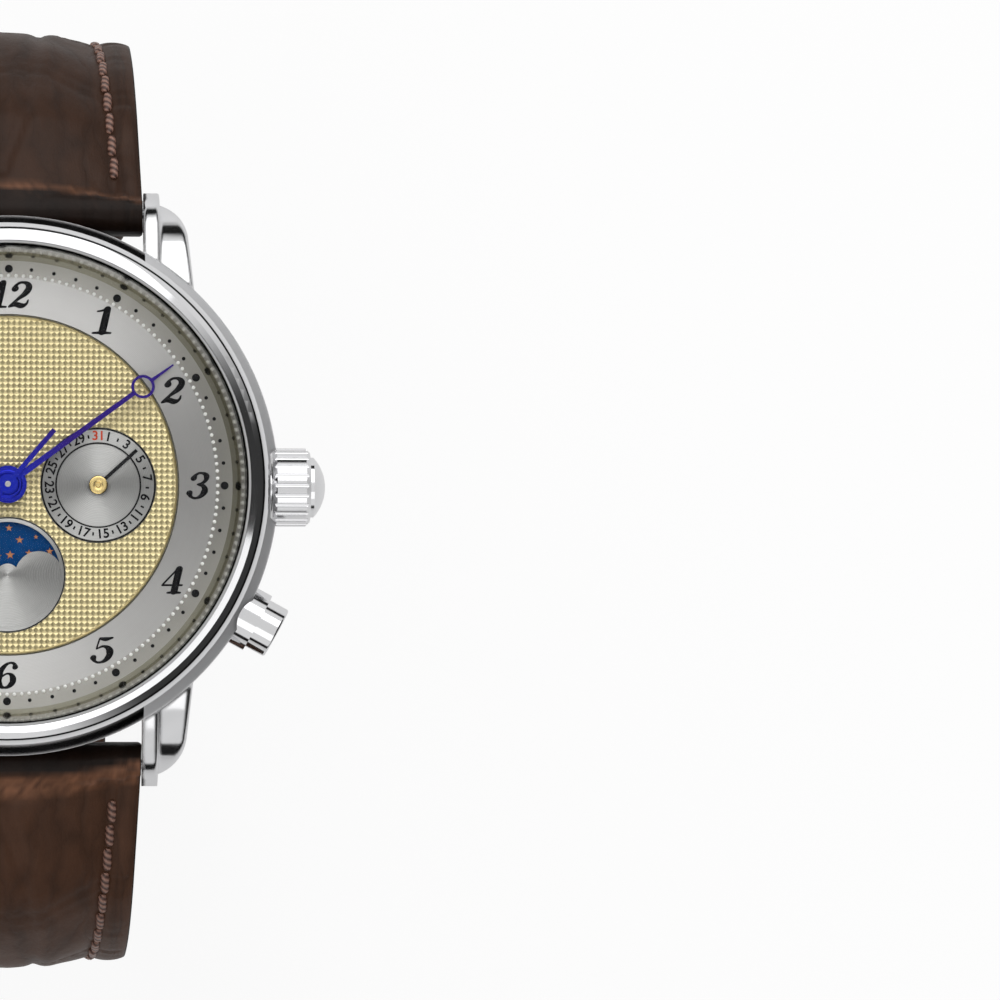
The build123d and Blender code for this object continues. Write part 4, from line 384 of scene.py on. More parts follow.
plain_steel = handled_finish("plain_steel", (0.5, 0.5, 0.51), 1.0, 0.3, 0.2, 0.4, 0.2)
dress(
    plain_steel, "spring_bar_upper", "spring_bar_lower", "buckle_bar", "stem", "setting_pinion",
    "setting_lever", "pusher_clip", "pusher_spring", "seconds_wheel", "train_bridge",
    "stepping_motor", "battery_clamp", "movement_screws",
)


# Movement: a brass plate in a white plastic ring, with its wheels, coil, circuit and button cell.
# All of it is shut between the dial and the case back.
plate_brass, tree, shader, spot = finish("plate_brass", (0.62, 0.47, 0.2), 1.0, 0.3)
# Painted sheen: the turning lays two bright fans into the brass's colour.
turned(tree, shader, spot, 5.0, 0.2, (0.55, 0.41, 0.17), (0.72, 0.57, 0.28), bump=0.15)
handled(tree, shader, spot, 0.22, 0.4)
dress(plate_brass, "main_plate")

wheel_brass = handled_finish("wheel_brass", (0.72, 0.55, 0.24), 1.0, 0.22, 0.15, 0.3, 0.15)
dress(
    wheel_brass, "hour_wheel", "cannon_pinion", "minute_wheel", "third_wheel", "day_idler",
    "day_wheel", "date_wheel", "moon_wheel",
)

holder_plastic = handled_finish("holder_plastic", (0.78, 0.78, 0.75), 0.0, 0.5, 0.42, 0.6, 0.1)
dress(holder_plastic, "movement_holder")

circuit_lacquer, tree, shader, spot = finish("circuit_lacquer", (0.02, 0.16, 0.06), 0.0, 0.3)
tracks = add(tree, "ShaderNodeTexBrick", {
    "Vector": spot, "Scale": 0.8, "Mortar Size": 0.06, "Color1": (0.02, 0.15, 0.06),
    "Color2": (0.02, 0.2, 0.08), "Mortar": (0.5, 0.33, 0.12),
})
tree.links.new(tracks.outputs["Color"], shader.inputs["Base Color"])
handled(tree, shader, spot, 0.22, 0.4)
dress(circuit_lacquer, "circuit_board")

coil_copper, tree, shader, spot = finish("coil_copper", (0.55, 0.2, 0.07), 1.0, 0.3)
given = {"Vector": spot, "Scale": 3.0}
turns = add(tree, "ShaderNodeTexWave", given, bands_direction="X")
relief(tree, shader, turns.outputs["Fac"], 0.6, 0.04)
handled(tree, shader, spot, 0.25, 0.4)
dress(coil_copper, "coil")

cell_steel, tree, shader, spot = finish("cell_steel", (0.66, 0.66, 0.66), 1.0, 0.2)
# Painted sheen: the turning lays two bright fans into the cell's colour.
turned(
    tree, shader, spot, 7.0, 0.3, (0.6, 0.6, 0.6), (0.8, 0.8, 0.8), centre=(-5.0, 6.4), bump=0.15
)
handled(tree, shader, spot, 0.12, 0.3)
dress(cell_steel, "battery")


# Strap halves: padded calf leather pressed with a crocodile pattern, each folded round its bar and
# sewn with waxed thread. Both are worn to their curve, so they are modelled as they lie.
def leather_group():
    """Crocodile folds, pores and creases of pressed leather, from a place along and across it."""
    group, given, made = new_group(
        "pressed_leather",
        [("Vector", "NodeSocketVector", None), ("Folds", "NodeSocketFloat", 1.0)],
        [("Height", "NodeSocketFloat"), ("Shade", "NodeSocketFloat")],
    )
    vector = given.outputs["Vector"]
    slanted = mapped(group, vector, Rotation=(0, 0, 0.35), Scale=(0.13, 0.05, 1))
    drift = add(group, "ShaderNodeTexNoise", {"Vector": vector, "Scale": 0.3})
    pull = {"Factor": 0.25, "A": slanted, "B": drift.outputs["Color"]}
    bent = add(group, "ShaderNodeMix", pull, data_type="VECTOR").outputs["Result"]
    scales = add(
        group, "ShaderNodeTexVoronoi", {"Vector": bent, "Scale": 2.2}, feature="DISTANCE_TO_EDGE"
    )
    groove = sum_node(group, "MULTIPLY", scales.outputs["Distance"], 6.0)
    groove = sum_node(group, "MINIMUM", groove, 1.0)
    groove = sum_node(group, "MULTIPLY", groove, given.outputs["Folds"])
    pores = add(group, "ShaderNodeTexVoronoi", {"Vector": vector, "Scale": 3.4})
    wrinkle = noise_node(group, vector, 1.3, 6.0, 0.6)
    fine = sum_node(group, "MULTIPLY_ADD", pores.outputs["Distance"], 0.22, wrinkle)
    height = sum_node(group, "MULTIPLY_ADD", fine, 0.5, groove)
    group.links.new(height, made.inputs["Height"])
    cloud = noise_node(group, vector, 0.22, 3.0, 0.6)
    shade = sum_node(group, "MULTIPLY_ADD", groove, 0.35, cloud)
    group.links.new(shade, made.inputs["Shade"])
    return group


pressed_leather = leather_group()


def leather(name, dark, light, folds, depth, with_dye_and_painted_light=False):
    """Leather from dark to light, toned if asked by vertex values: black edges, painted shade and
    highlights.
    """
    material, tree, shader, spot = finish(name, light, 0.0, 0.4, 0.14)
    flat = add(tree, "ShaderNodeUVMap", uv_map="along").outputs["UV"]
    given = {"Vector": flat, "Folds": folds}
    grain = add(tree, "ShaderNodeGroup", given, node_tree=pressed_leather).outputs
    tones = mix_node(tree, grain["Shade"], dark, light)
    if with_dye_and_painted_light:
        dye_and_painted_light = add(tree, "ShaderNodeAttribute", attribute_name="dye_and_painted_light")
        tones = mix_node(tree, 1.0, tones, dye_and_painted_light.outputs["Fac"], "MULTIPLY")
    tree.links.new(tones, shader.inputs["Base Color"])
    relief(tree, shader, grain["Height"], 0.55, depth)
    handled(tree, shader, spot, 0.4, 0.56)
    shader.inputs["Coat Weight"].default_value = 0.08
    shader.inputs["Coat Roughness"].default_value = 0.22
    return material


# Its vertex tones hold the black cut edges, painted shade on the turned ends and painted highlights
# on their ridges.
calf = leather("brown_calf", (0.014, 0.006, 0.003), (0.046, 0.02, 0.0105), 0.8, 0.12, with_dye_and_painted_light=True)
keeper_calf = leather("keeper_calf", (0.012, 0.0055, 0.0035), (0.048, 0.024, 0.016), 0.25, 0.05)

strap_dip = 31.0
strap_lead = 7.6
bar_y, bar_z = 22.3, 1.55
strap_curl = 42.0
strap_bend = 17.5
strap_half_width = 10.82
strap_end_half_width = 9.0
strap_taper = 46.0
upper_length = 75.0
lower_length = 115.0
tail_point = 10
bar_roll = 1.85
buckle_roll = 1.6
bar_bore = 0.95
pin_bore = 0.85
padding_length = 42
bend_length = strap_bend * radians(90 - strap_dip)
upper_line = [(strap_lead, 0), (bend_length, strap_bend), (upper_length, strap_curl)]
lower_line = [
    (strap_lead, 0), (bend_length, strap_bend), (12.0, 0), (strap_curl * pi / 2, strap_curl),
    (lower_length, 0),
]


def on_strap(line, side, distance, across, out):
    """A point of a strap half, from its place along, across and away from the wrist, in metres."""
    y, z, dip, left = bar_y, bar_z, radians(strap_dip), distance
    for length, bend in line:
        run = min(left, length)
        if bend:
            y += bend * (sin(dip + run / bend) - sin(dip))
            z += bend * (sin(pi / 2 + dip + run / bend) - sin(pi / 2 + dip))
            dip += run / bend
        else:
            y += run * sin(pi / 2 + dip)
            z -= run * sin(dip)
        left -= run
    return Vector((across, side * (y + out * sin(dip)), z + out * sin(pi / 2 + dip))) * MM


def evenly(distance, start, end, length):
    """A value that goes evenly from start to end over a length, and keeps to those ends."""
    return start + (end - start) * min(max(distance / length, 0), 1)


def half_width(distance, length, point):
    """The strap tapers to the buckle, and the tail comes to a rounded point."""
    width = evenly(distance, strap_half_width, strap_end_half_width, strap_taper)
    left = length - distance
    return width * (0.3 + 0.7 * sin(pi / 2 * left / point)) if 0 <= left < point else width


def lining_depth(distance):
    """How far the lining lies from the centre line of the strap."""
    return evenly(distance, 1.6, 1.2, padding_length)


def pad_height(distance):
    """How high the padded middle stands over the centre line of the strap."""
    swell, crown = 8, 2.45
    if distance < swell:
        return evenly(distance, bar_roll, crown, swell)
    return evenly(distance - swell, crown, 1.4, padding_length - swell)


def seam_inset(distance):
    """How far the seam runs from the strap's edge."""
    return evenly(distance, 2.05, 2.85, 25)


def leather_top(distance, across, width):
    """The height of the grain side: an edge strip, a valley that holds the seam, and the pad."""
    edge = evenly(distance, 1.25, 0.9, padding_length)
    valley = edge - 0.22
    inside = width - abs(across)
    inset = seam_inset(distance)
    if inside < inset:
        strip = sin(pi * inside / inset)
        return valley + 0.36 * max(strip, 0) ** 0.6 + 0.1 * (1 - inside / inset)
    rise = (inside - inset) / max(width - inset, 0.1)
    return valley + (pad_height(distance) - valley) * (1 - (1 - rise) ** 2.1)


def ridge_of(across, width):
    """How far from the spring bar the leather turns over the end, nearer to it at the edges."""
    return 1.45 - 1.3 * (across / width) ** 2


def dip_of(gap, width, depth):
    """How far a crease of this width sinks the leather at a gap from its middle."""
    return depth * exp(-((gap / width) ** 2))


def creases(side, across, distance, width, length):
    """The pressed pattern: a long crease near the middle, cross creases and boxes at the edges."""
    if distance < 2.6 or distance > length - 4:
        return 0.0
    wander = 1.5 + 0.9 * sin((distance - 12) / 6.0) if distance > 12 else (
        -0.5 + 2.0 * sin(pi / 2 * evenly(distance - 3.5, 0, 1, 8.5))
    )
    sink = dip_of(across - wander, 0.55, 0.24) - dip_of(across - wander - 1.3, 0.7, 0.1)
    inside = width - abs(across)
    box_pitch, crease_pitch = 5.2, 9.6
    if inside < seam_inset(distance) - 0.3:
        place = (distance - (9.8 if across > 0 else 7.2)) % box_pitch
        boxes = dip_of(place - 0.5, 0.2, 0.16) + dip_of(place - 1.5, 0.22, 0.12)
        sink += boxes * min(max(inside - 0.25, 0) / 0.5, 1)
    elif distance > 9:
        bowed = distance + 0.045 * across * across * (1 if across > 0 else 0.8)
        place = (bowed - 12.2 - 0.3 * sin(across * 0.9)) % crease_pitch
        sink += dip_of(place - 1.0, 0.3, 0.13) + dip_of(place - 1.9, 0.35, 0.09)
        sink -= dip_of(place - 1.45, 0.4, 0.05)
    return sink


def dye_of(side, distance, across, ridge, width):
    """Black cut edges; painted shade on the turned end and painted highlights on its ridge and
    lower face.
    """
    past = distance - ridge
    grain = noise.noise(Vector((across * 2.3, distance * 5.0, side * 7.0)))
    painted_highlight = 3.4 + 2.6 * grain
    # The cut edges' black is their own colour; the end's darkness is painted shade.
    dark, cut_edge = 0.3, 0.15
    if abs(across) > width - 0.12:
        return cut_edge
    # Past its ridge the lower half is a lighter tone; before it the end's face has a painted
    # highlight.
    if side < 0 and past > 0.1:
        return evenly(past - 0.1, 1.3 * painted_highlight, 1.7, 0.8)
    if side < 0 and past > -1.6:
        return evenly(past + 1.6, dark, 1.3 * painted_highlight, 0.5)
    if past < -0.45:
        return dark + 0.4 * max(grain, 0) * (1 if past > -1.4 else 0)
    if past < -0.1:
        return evenly(past + 0.45, dark, painted_highlight, 0.35)
    return evenly(past + 0.1, painted_highlight, 1.0, 0.6)


def strap_ring(distance, length, point, rolls):
    """One section of a strap half, as (across, out) in millimetres, from the lining's middle."""
    width = half_width(distance, length, point)
    lining = lining_depth(distance)
    blend_roll = 0
    roll_top = roll_low = 0
    for middle, radius, reach in rolls:
        away = abs(distance - middle)
        outside = (distance - middle) * reach < 0
        round_height = max(radius * radius - away * away, 0) ** 0.5
        if outside:
            blend_roll, roll_top, roll_low = 1, round_height, round_height
        elif away < 3.5:
            blend_roll = max(1 - away / 3.5, 0) ** 1.5
            roll_top = roll_low = radius
    lining += (roll_low - lining) * blend_roll
    ring = []
    for step in range(5):
        ring.append(((width - 0.25) * step / 4, -lining))
    low, high = -lining, leather_top(distance, width, width)
    high += (roll_top * 0.75 - high) * blend_roll
    ring.append((width - 0.05, low + min(0.22, lining * 0.3)))
    ring.append((width, low + (high - low) * 0.5))
    steps = 84
    for step in range(steps + 1):
        across = width * sin(pi / 2 * (1 - 2 * step / steps)) if step % steps else width * (
            1 - 2 * step / steps
        )
        across *= 0.995
        ridge = ridge_of(across, width)
        if rolls and distance < ridge:
            fall = (ridge - distance) / (ridge + bar_roll)
            top = leather_top(ridge, across, width) * max(1 - fall ** 1.9, 0) ** 0.6
            top = max(top, max(bar_roll ** 2 - distance * distance, 0) ** 0.5)
        else:
            top = leather_top(distance, across, width)
            if distance > 10:
                top += (roll_top - top) * blend_roll
        ring.append((across, top))
    for across, out in reversed(ring[:7]):
        ring.append((-across, out))
    return ring


def join_grid(shape, along, flat):
    """Writes a grid's UV map from the flat place of each vertex, and merges its meeting edges."""
    for face in shape.faces:
        for loop in face.loops:
            loop[along].uv = flat[loop.vert.index]
    bmesh.ops.remove_doubles(shape, verts=shape.verts, dist=0.004 * MM)


def strap_mesh(name, line, side, length, point, rolls, start, end):
    """A strap half made by rolling a grid into its section, ring after ring."""
    count = round((end - start) / 0.45)
    stations = []
    for row in range(count + 1):
        stations.append(start + (end - start) * row / count)
    rings = [strap_ring(distance, length, point, rolls) for distance in stations]
    around = len(rings[0]) - 1
    shape = bmesh.new()
    bmesh.ops.create_grid(shape, x_segments=around, y_segments=count, size=0.5)
    along = shape.loops.layers.uv.new("along")
    dye_and_painted_light = shape.verts.layers.float.new("dye_and_painted_light")
    flat = {}
    for vert in shape.verts:
        column = round((vert.co.x + 0.5) * around)
        row = round((vert.co.y + 0.5) * count)
        across, out = rings[row][column]
        distance = stations[row]
        width = half_width(distance, length, point)
        ridge = ridge_of(across, width)
        vert[dye_and_painted_light] = 1.0
        if out > 0.5:
            fold = noise.noise(Vector((across * 0.17 + distance * 0.09, distance * 0.21, side)))
            out += 0.16 * fold - creases(side, across, distance, width, length)
            if rolls and -1 < distance < 5:
                pucker = noise.noise(Vector((across * 1.1, distance * 2.6, side * 3)))
                out += 0.09 * pucker * sin(pi * (distance + 1) / 6)
            # Painted shade and highlights on the turned end, and black on the cut edges, as vertex
            # tones.
            vert[dye_and_painted_light] = dye_of(side, distance, across, ridge, width)
        # Side walls and the lining round the bar: black edges and painted shade.
        elif out > -1 or distance < 1.5:
            vert[dye_and_painted_light] = 0.2
        vert.co = on_strap(line, side, stations[row], across, out)
        girth = column / around * 52
        flat[vert.index] = (girth, stations[row])
    join_grid(shape, along, flat)
    bmesh.ops.holes_fill(shape, edges=[e for e in shape.edges if e.is_boundary], sides=0)
    return finished(name, shape, calf)


def finished(name, shape, *materials, smooth=True, angle=None):
    """Closes a bmesh into an object with its outward faces, its materials and smooth shading."""
    bmesh.ops.recalc_face_normals(shape, faces=shape.faces)
    data = bpy.data.meshes.new(name)
    shape.to_mesh(data)
    shape.free()
    for material in materials:
        data.materials.append(material)
    if smooth:
        data.shade_smooth()
    if angle is not None:
        data.set_sharp_from_angle(angle=radians(angle))
    made = bpy.data.objects.new(name, data)
    bpy.context.scene.collection.objects.link(made)
    return made


def drum(shape, radius, depth, matrix, segments=24, top_radius=None):
    """A cylinder or cone in a bmesh, its middle at a matrix, in millimetres."""
    top = radius if top_radius is None else top_radius
    bmesh.ops.create_cone(
        shape, cap_ends=True, segments=segments, radius1=radius * MM, radius2=top * MM,
        depth=depth * MM, matrix=matrix,
    )


def cut(piece, shape, operation="DIFFERENCE"):
    """Cuts a piece with the solid in a bmesh, or keeps only what lies inside it."""
    cutter = finished("cutter", shape, smooth=False)
    knife = piece.modifiers.new("cut", "BOOLEAN")
    knife.operation = operation
    knife.solver = "EXACT"
    knife.object = cutter
    depsgraph = bpy.context.evaluated_depsgraph_get()
    cut_mesh = bpy.data.meshes.new_from_object(piece.evaluated_get(depsgraph))
    piece.modifiers.clear()
    piece.data = cut_mesh
    bpy.data.objects.remove(cutter)


def across_bar(line, side, distance):
    """A matrix whose Z lies across a strap half, at a distance along its centre line."""
    place = on_strap(line, side, distance, 0, 0)
    return Matrix.Translation(place) @ Matrix.Rotation(pi / 2, 4, "Y")


strap_upper = strap_mesh(
    "calf_strap_upper", upper_line, 1, upper_length, 0,
    [(0, bar_roll, 1), (upper_length, buckle_roll, -1)],
    0.01 - bar_roll, upper_length + (buckle_roll - 0.01),
)
bores = bmesh.new()
drum(bores, bar_bore, 30, across_bar(upper_line, 1, 0))
drum(bores, pin_bore, 30, across_bar(upper_line, 1, upper_length))
cut(strap_upper, bores)
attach(strap_upper, "upper_strap")
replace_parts(strap_upper, "strap_upper")

strap_lower = strap_mesh(
    "calf_strap_lower", lower_line, -1, lower_length, tail_point, [(0, bar_roll, 1)],
    0.01 - bar_roll, lower_length,
)
bores = bmesh.new()
drum(bores, bar_bore, 30, across_bar(lower_line, -1, 0))
first_hole, hole_pitch = lower_length - 25, 6
for hole in range(7):
    distance = first_hole - hole * hole_pitch
    near = on_strap(lower_line, -1, distance, 0, -4)
    far = on_strap(lower_line, -1, distance, 0, 4)
    turn = (far - near).to_track_quat("Z", "Y").to_matrix().to_4x4()
    drum(bores, pin_bore, 8, Matrix.Translation((near + far) / 2) @ turn, 20)
cut(strap_lower, bores)
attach(strap_lower, "lower_strap")
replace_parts(strap_lower, "strap_lower")


# Stitches: waxed copper-brown thread, two rows on each half, seen on the grain side and the lining.
thread, tree, shader, spot = finish("waxed_thread", (0.34, 0.16, 0.12), 0.0, 0.42)
twist_place = add(tree, "ShaderNodeUVMap", uv_map="twist").outputs["UV"]
given = {"Vector": twist_place, "Scale": 1.1}
# Painted shade: the colour darkens in the grooves of the twist, between the strands.
strands = add(tree, "ShaderNodeTexWave", given, bands_direction="DIAGONAL").outputs["Fac"]
tones = mix_node(tree, strands, (0.05, 0.02, 0.014), (0.3, 0.16, 0.12))
tree.links.new(tones, shader.inputs["Base Color"])
handled(tree, shader, spot, 0.3, 0.5)
relief(tree, shader, strands, 0.8, 0.08)


seam_start = 2.6
stitch_pitch = 2.25
thread_radius = 0.37


def one_stitch():
    """A short rope of unit size along Z, its ends blunt, with the turn of its twist as a UV map."""
    rope = bmesh.new()
    twist = rope.loops.layers.uv.new("twist")
    bmesh.ops.create_uvsphere(rope, u_segments=8, v_segments=8, radius=1)
    for face in rope.faces:
        for loop in face.loops:
            around = atan2(loop.vert.co.y, loop.vert.co.x) / tau
            loop[twist].uv = (around, loop.vert.co.z)
    for vert in rope.verts:
        wide = hypot(vert.co.x, vert.co.y)
        if wide > 0.01:
            fuller = (1 - abs(vert.co.z) ** 7) ** 0.5 / wide
            vert.co.x *= fuller
            vert.co.y *= fuller
    data = bpy.data.meshes.new("stitch")
    rope.to_mesh(data)
    rope.free()
    return data


def stitch_row(shape, line, side, length, point, first, last, lean, outward):
    """Adds the stitches of one row: short ropes that dive into the leather at both ends."""
    pitch = (last - first) / round((last - first) / stitch_pitch)
    for number in range(round((last - first) / pitch)):
        ends = []
        for share, slip in ((0.1, -0.07), (0.92, 0.07)):
            place = first + (number + share) * pitch
            width = half_width(place, length, point)
            inset = max(width - seam_inset(place), 0)
            if outward:
                level = leather_top(place, inset, width) + 0.12
            else:
                level = -lining_depth(place)
            ends.append(on_strap(line, side, place, lean * (inset + slip), level))
        start, end = ends
        way = end - start
        turn = way.to_track_quat("Z", "Y").to_matrix().to_4x4()
        size = Matrix.Diagonal(
            (thread_radius * MM, thread_radius * MM, way.length / 2 + 0.1 * MM, 1)
        )
        rope = stitch.copy()
        rope.transform(Matrix.Translation((start + end) / 2) @ turn @ size)
        shape.from_mesh(rope)
        bpy.data.meshes.remove(rope)


stitch = one_stitch()


def strap_seam(name, line, side, length, point, last, body):
    """Both rows of a strap half, each on the grain side and on the lining."""
    rows = bmesh.new()
    for lean in (-1, 1):
        for outward in (True, False):
            stitch_row(rows, line, side, length, point, seam_start, last, lean, outward)
    seam = finished(name, rows, thread)
    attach(seam, body)


strap_seam("seam_upper", upper_line, 1, upper_length, 0, upper_length - 4, "upper_strap")
seam_end = lower_length - 3.5
strap_seam("seam_lower", lower_line, -1, lower_length, tail_point, seam_end, "lower_strap")


# Keepers: two leather loops round the buckle half. One is sewn to it, and the other slides.
def squared(angle, power):
    """A sine made fuller by a power, which turns a circle into a rounded box."""
    return abs(sin(angle)) ** power * (1 if sin(angle) > 0 else -1)


def keeper_loop(name, distance, body):
    """A band rolled from a grid: round its loop one way, round its own section the other way."""
    around, section = 72, 16
    half_w, low, high = 9.85, -2.05, 4.4
    middle, half_h = (low + high) / 2, (high - low) / 2
    corner_power = 0.32
    half_thick, half_band = 0.5, 2.5
    shape = bmesh.new()
    bmesh.ops.create_grid(shape, x_segments=around, y_segments=section, size=0.5)
    along = shape.loops.layers.uv.new("along")
    flat = {}
    for vert in shape.verts:
        turn = tau * (vert.co.x + 0.5)
        roll = tau * (vert.co.y + 0.5)
        x = half_w * squared(turn, corner_power)
        y = half_h * squared(turn + pi / 2, corner_power)
        thick = half_thick * squared(roll, 0.5)
        width = half_band * squared(roll + pi / 2, 0.4)
        spread = hypot(x / half_w, y / half_h)
        x += thick * (x / half_w) / spread * 1.1
        y += thick * (y / half_h) / spread * 1.1
        vert.co = on_strap(upper_line, 1, distance + width, x, middle + y)
        flat[vert.index] = (turn / tau * 54, width + (3 if thick > 0 else 0))
    join_grid(shape, along, flat)
    loop_of_leather = finished(name, shape, keeper_calf)
    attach(loop_of_leather, body)
    return loop_of_leather


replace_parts(keeper_loop("sewn_keeper", upper_length - 9, "upper_strap"), "keeper_fixed")
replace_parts(keeper_loop("loose_keeper", upper_length - 19.5, "sliding_keeper"), "keeper_free")


# Buckle: a polished steel frame with its tongue, on the bar in the end of the upper half.
buckle_steel = handled_finish("buckle_steel", (0.72, 0.72, 0.73), 1.0, 0.1, 0.04, 0.2, 0.1)
dress(buckle_steel, "buckle_frame", "buckle_tongue")


# Dial plate: silvered brass, brushed in circles round the hands so that light fans out over it. Its
# outer track, past the beads, is a darker tone.
def brushed_round(tree, shader):
    """Brushing round the piece's middle, which spreads a highlight across its lines."""
    radial = add(tree, "ShaderNodeTangent", direction_type="RADIAL", axis="Z")
    tree.links.new(radial.outputs["Tangent"], shader.inputs["Tangent"])
    shader.inputs["Anisotropic"].default_value = 0.9
    shader.inputs["Anisotropic Rotation"].default_value = 0.25


dial_top = 6.75
numeral_circle = 15.22
track_radius = 16.6
bead_circle = 16.75
dot_circle = 17.3
silvering, tree, shader, spot = finish("silvering", (0.6, 0.595, 0.58), 1.0, 0.46)
radius, tones = turned(
    tree, shader, spot, 57.0, 0.0, (0.47, 0.465, 0.455), (0.65, 0.645, 0.635), bump=0.2, depth=0.012
)
past_beads = sum_node(tree, "GREATER_THAN", radius, track_radius)
outer_track = mix_node(tree, past_beads, tones, (0.76, 0.75, 0.71), "MULTIPLY")
tree.links.new(outer_track, shader.inputs["Base Color"])
brushed_round(tree, shader)
handled(tree, shader, spot, 0.42, 0.5)
dress(silvering, "dial_plate")


def round_dial(angle, radius, centre=(0, 0), height=dial_top):
    """A place on a dial, from a clockwise angle from 12 o'clock in degrees, in metres."""
    turn = radians(angle)
    east, north = radius * sin(turn), radius * sin(pi / 2 - turn)
    return Vector((centre[0] + east, centre[1] + north, height)) * MM


# Bead ring and minute dots: white enamel beads in a fine circle, and black printed dots outside it.
white_enamel = handled_finish("white_enamel", (0.86, 0.86, 0.84), 0.0, 0.3, 0.22, 0.36)
beads = bmesh.new()
for bead in range(180):
    bmesh.ops.create_icosphere(
        beads, subdivisions=2, radius=0.15 * MM,
        matrix=Matrix.Translation(round_dial(bead * 2, bead_circle)),
    )
bead_ring = finished("bead_ring", beads, white_enamel)
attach(bead_ring, "case")

black_print = handled_finish(
    "black_print", (0.005, 0.005, 0.006), 0.0, 0.35, 0.28, 0.45, specular=0.12
)
dots = bmesh.new()
for minute in range(60):
    hour_mark = minute % 5 == 0
    place = Matrix.Translation(round_dial(minute * 6, dot_circle, height=dial_top + 0.01))
    drum(dots, 0.32 if hour_mark else 0.15, 0.04, place, 24 if hour_mark else 14)
minute_dots = finished("minute_dots", dots, black_print, smooth=False)
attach(minute_dots, "case")


# Numerals: black italic figures with ball ends and slab feet, printed thick. Each stroke is a curve
# whose width swells like a pen's, pressed flat and made a mesh.
pen_strokes = {
    "0": [("ring", (0, 0.46, 0.045), (-0.25, 0.2, 0.1), (-0.25, -0.2, 0.1), (0, -0.46, 0.045),
           (0.25, -0.2, 0.1), (0.25, 0.2, 0.1))],
    "1": [("line", (0.03, 0.43, 0.1), (0.03, 0, 0.105), (0.03, -0.42, 0.105)),
          ("line", (0.0, 0.46, 0.05), (-0.12, 0.38, 0.045), (-0.27, 0.35, 0.035)),
          ("line", (-0.27, -0.46, 0.04), (0.03, -0.45, 0.06), (0.3, -0.46, 0.04))],
    "2": [("line", (-0.22, 0.22, 0.1), (-0.19, 0.38, 0.05), (0, 0.46, 0.05), (0.2, 0.33, 0.09),
           (0.18, 0.12, 0.1), (-0.05, -0.16, 0.06), (-0.27, -0.42, 0.04)),
          ("line", (-0.27, -0.44, 0.05), (-0.1, -0.36, 0.085), (0.12, -0.41, 0.09),
           (0.25, -0.34, 0.05), (0.28, -0.2, 0.03))],
    "3": [("line", (-0.21, 0.27, 0.09), (-0.15, 0.41, 0.05), (0.02, 0.46, 0.045),
           (0.19, 0.34, 0.085), (0.15, 0.13, 0.06), (-0.04, 0.04, 0.035)),
          ("line", (-0.04, 0.04, 0.035), (0.17, -0.04, 0.07), (0.23, -0.24, 0.1),
           (0.04, -0.46, 0.05), (-0.15, -0.43, 0.045), (-0.24, -0.28, 0.09))],
    "4": [("line", (0.1, 0.46, 0.045), (-0.1, 0.16, 0.035), (-0.3, -0.16, 0.035)),
          ("line", (-0.3, -0.18, 0.04), (0, -0.18, 0.04), (0.32, -0.18, 0.04)),
          ("line", (0.12, 0.42, 0.1), (0.12, 0, 0.1), (0.12, -0.42, 0.1)),
          ("line", (-0.08, -0.46, 0.04), (0.12, -0.45, 0.06), (0.32, -0.46, 0.04))],
    "5": [("line", (-0.16, 0.42, 0.05), (0.02, 0.4, 0.075), (0.22, 0.45, 0.04)),
          ("line", (-0.18, 0.42, 0.035), (-0.2, 0.24, 0.03), (-0.21, 0.05, 0.03)),
          ("line", (-0.21, 0.04, 0.03), (0.02, 0.13, 0.05), (0.23, -0.04, 0.1),
           (0.21, -0.3, 0.09), (0.02, -0.46, 0.045), (-0.16, -0.43, 0.045), (-0.25, -0.29, 0.09))],
    "6": [("line", (0.2, 0.3, 0.085), (0.13, 0.43, 0.05), (-0.02, 0.45, 0.045),
           (-0.19, 0.27, 0.08), (-0.25, -0.05, 0.1), (-0.19, -0.33, 0.09), (0, -0.46, 0.045),
           (0.2, -0.33, 0.09), (0.21, -0.12, 0.09), (0.03, 0.06, 0.04), (-0.2, -0.08, 0.04))],
    "7": [("line", (-0.25, 0.3, 0.035), (-0.2, 0.42, 0.06), (0, 0.39, 0.085), (0.25, 0.44, 0.04)),
          ("line", (0.25, 0.43, 0.04), (0.04, 0.1, 0.08), (-0.06, -0.4, 0.11))],
    "8": [("ring", (0, 0.46, 0.045), (-0.17, 0.26, 0.08), (0, 0.06, 0.045), (0.17, 0.26, 0.07)),
          ("ring", (0, 0.07, 0.045), (-0.21, -0.2, 0.09), (0, -0.46, 0.045), (0.21, -0.2, 0.1))],
}
pen_strokes["9"] = [("line", *((-x, -y, width) for x, y, width in pen_strokes["6"][0][1:]))]


def inked_width(width):
    """Half a stroke's width: the heavy strokes swell more than the hairlines."""
    return width * (0.85 + 3.2 * width)


def pen_figure(shape, figure, place, height, slant=0.2):
    """Writes one figure into a bmesh, its middle at a place on the dial."""
    drawn = bpy.data.curves.new("figure", "CURVE")
    drawn.dimensions = "3D"
    drawn.bevel_depth = 1
    drawn.bevel_resolution = 3
    drawn.resolution_u = 6
    drawn.use_fill_caps = True
    laid = Matrix.Translation(place) @ lay_flat(height, slant)
    for kind, *points in pen_strokes[figure]:
        stroke = drawn.splines.new("BEZIER")
        stroke.bezier_points.add(len(points) - 1)
        for bend, (x, y, width) in zip(stroke.bezier_points, points):
            bend.co = (x, y, 0)
            bend.radius = inked_width(width)
            bend.handle_left_type = bend.handle_right_type = "AUTO"
        stroke.use_cyclic_u = kind == "ring"
        if kind == "line":
            for x, y, width in (points[0], points[-1]):
                bmesh.ops.create_uvsphere(
                    shape, u_segments=16, v_segments=8, radius=inked_width(width),
                    matrix=laid @ Matrix.Translation((x, y, 0)),
                )
    writer = bpy.data.objects.new("figure", drawn)
    inked = writer.to_mesh()
    inked.transform(laid)
    shape.from_mesh(inked)
    writer.to_mesh_clear()
    bpy.data.objects.remove(writer)
    bpy.data.curves.remove(drawn)


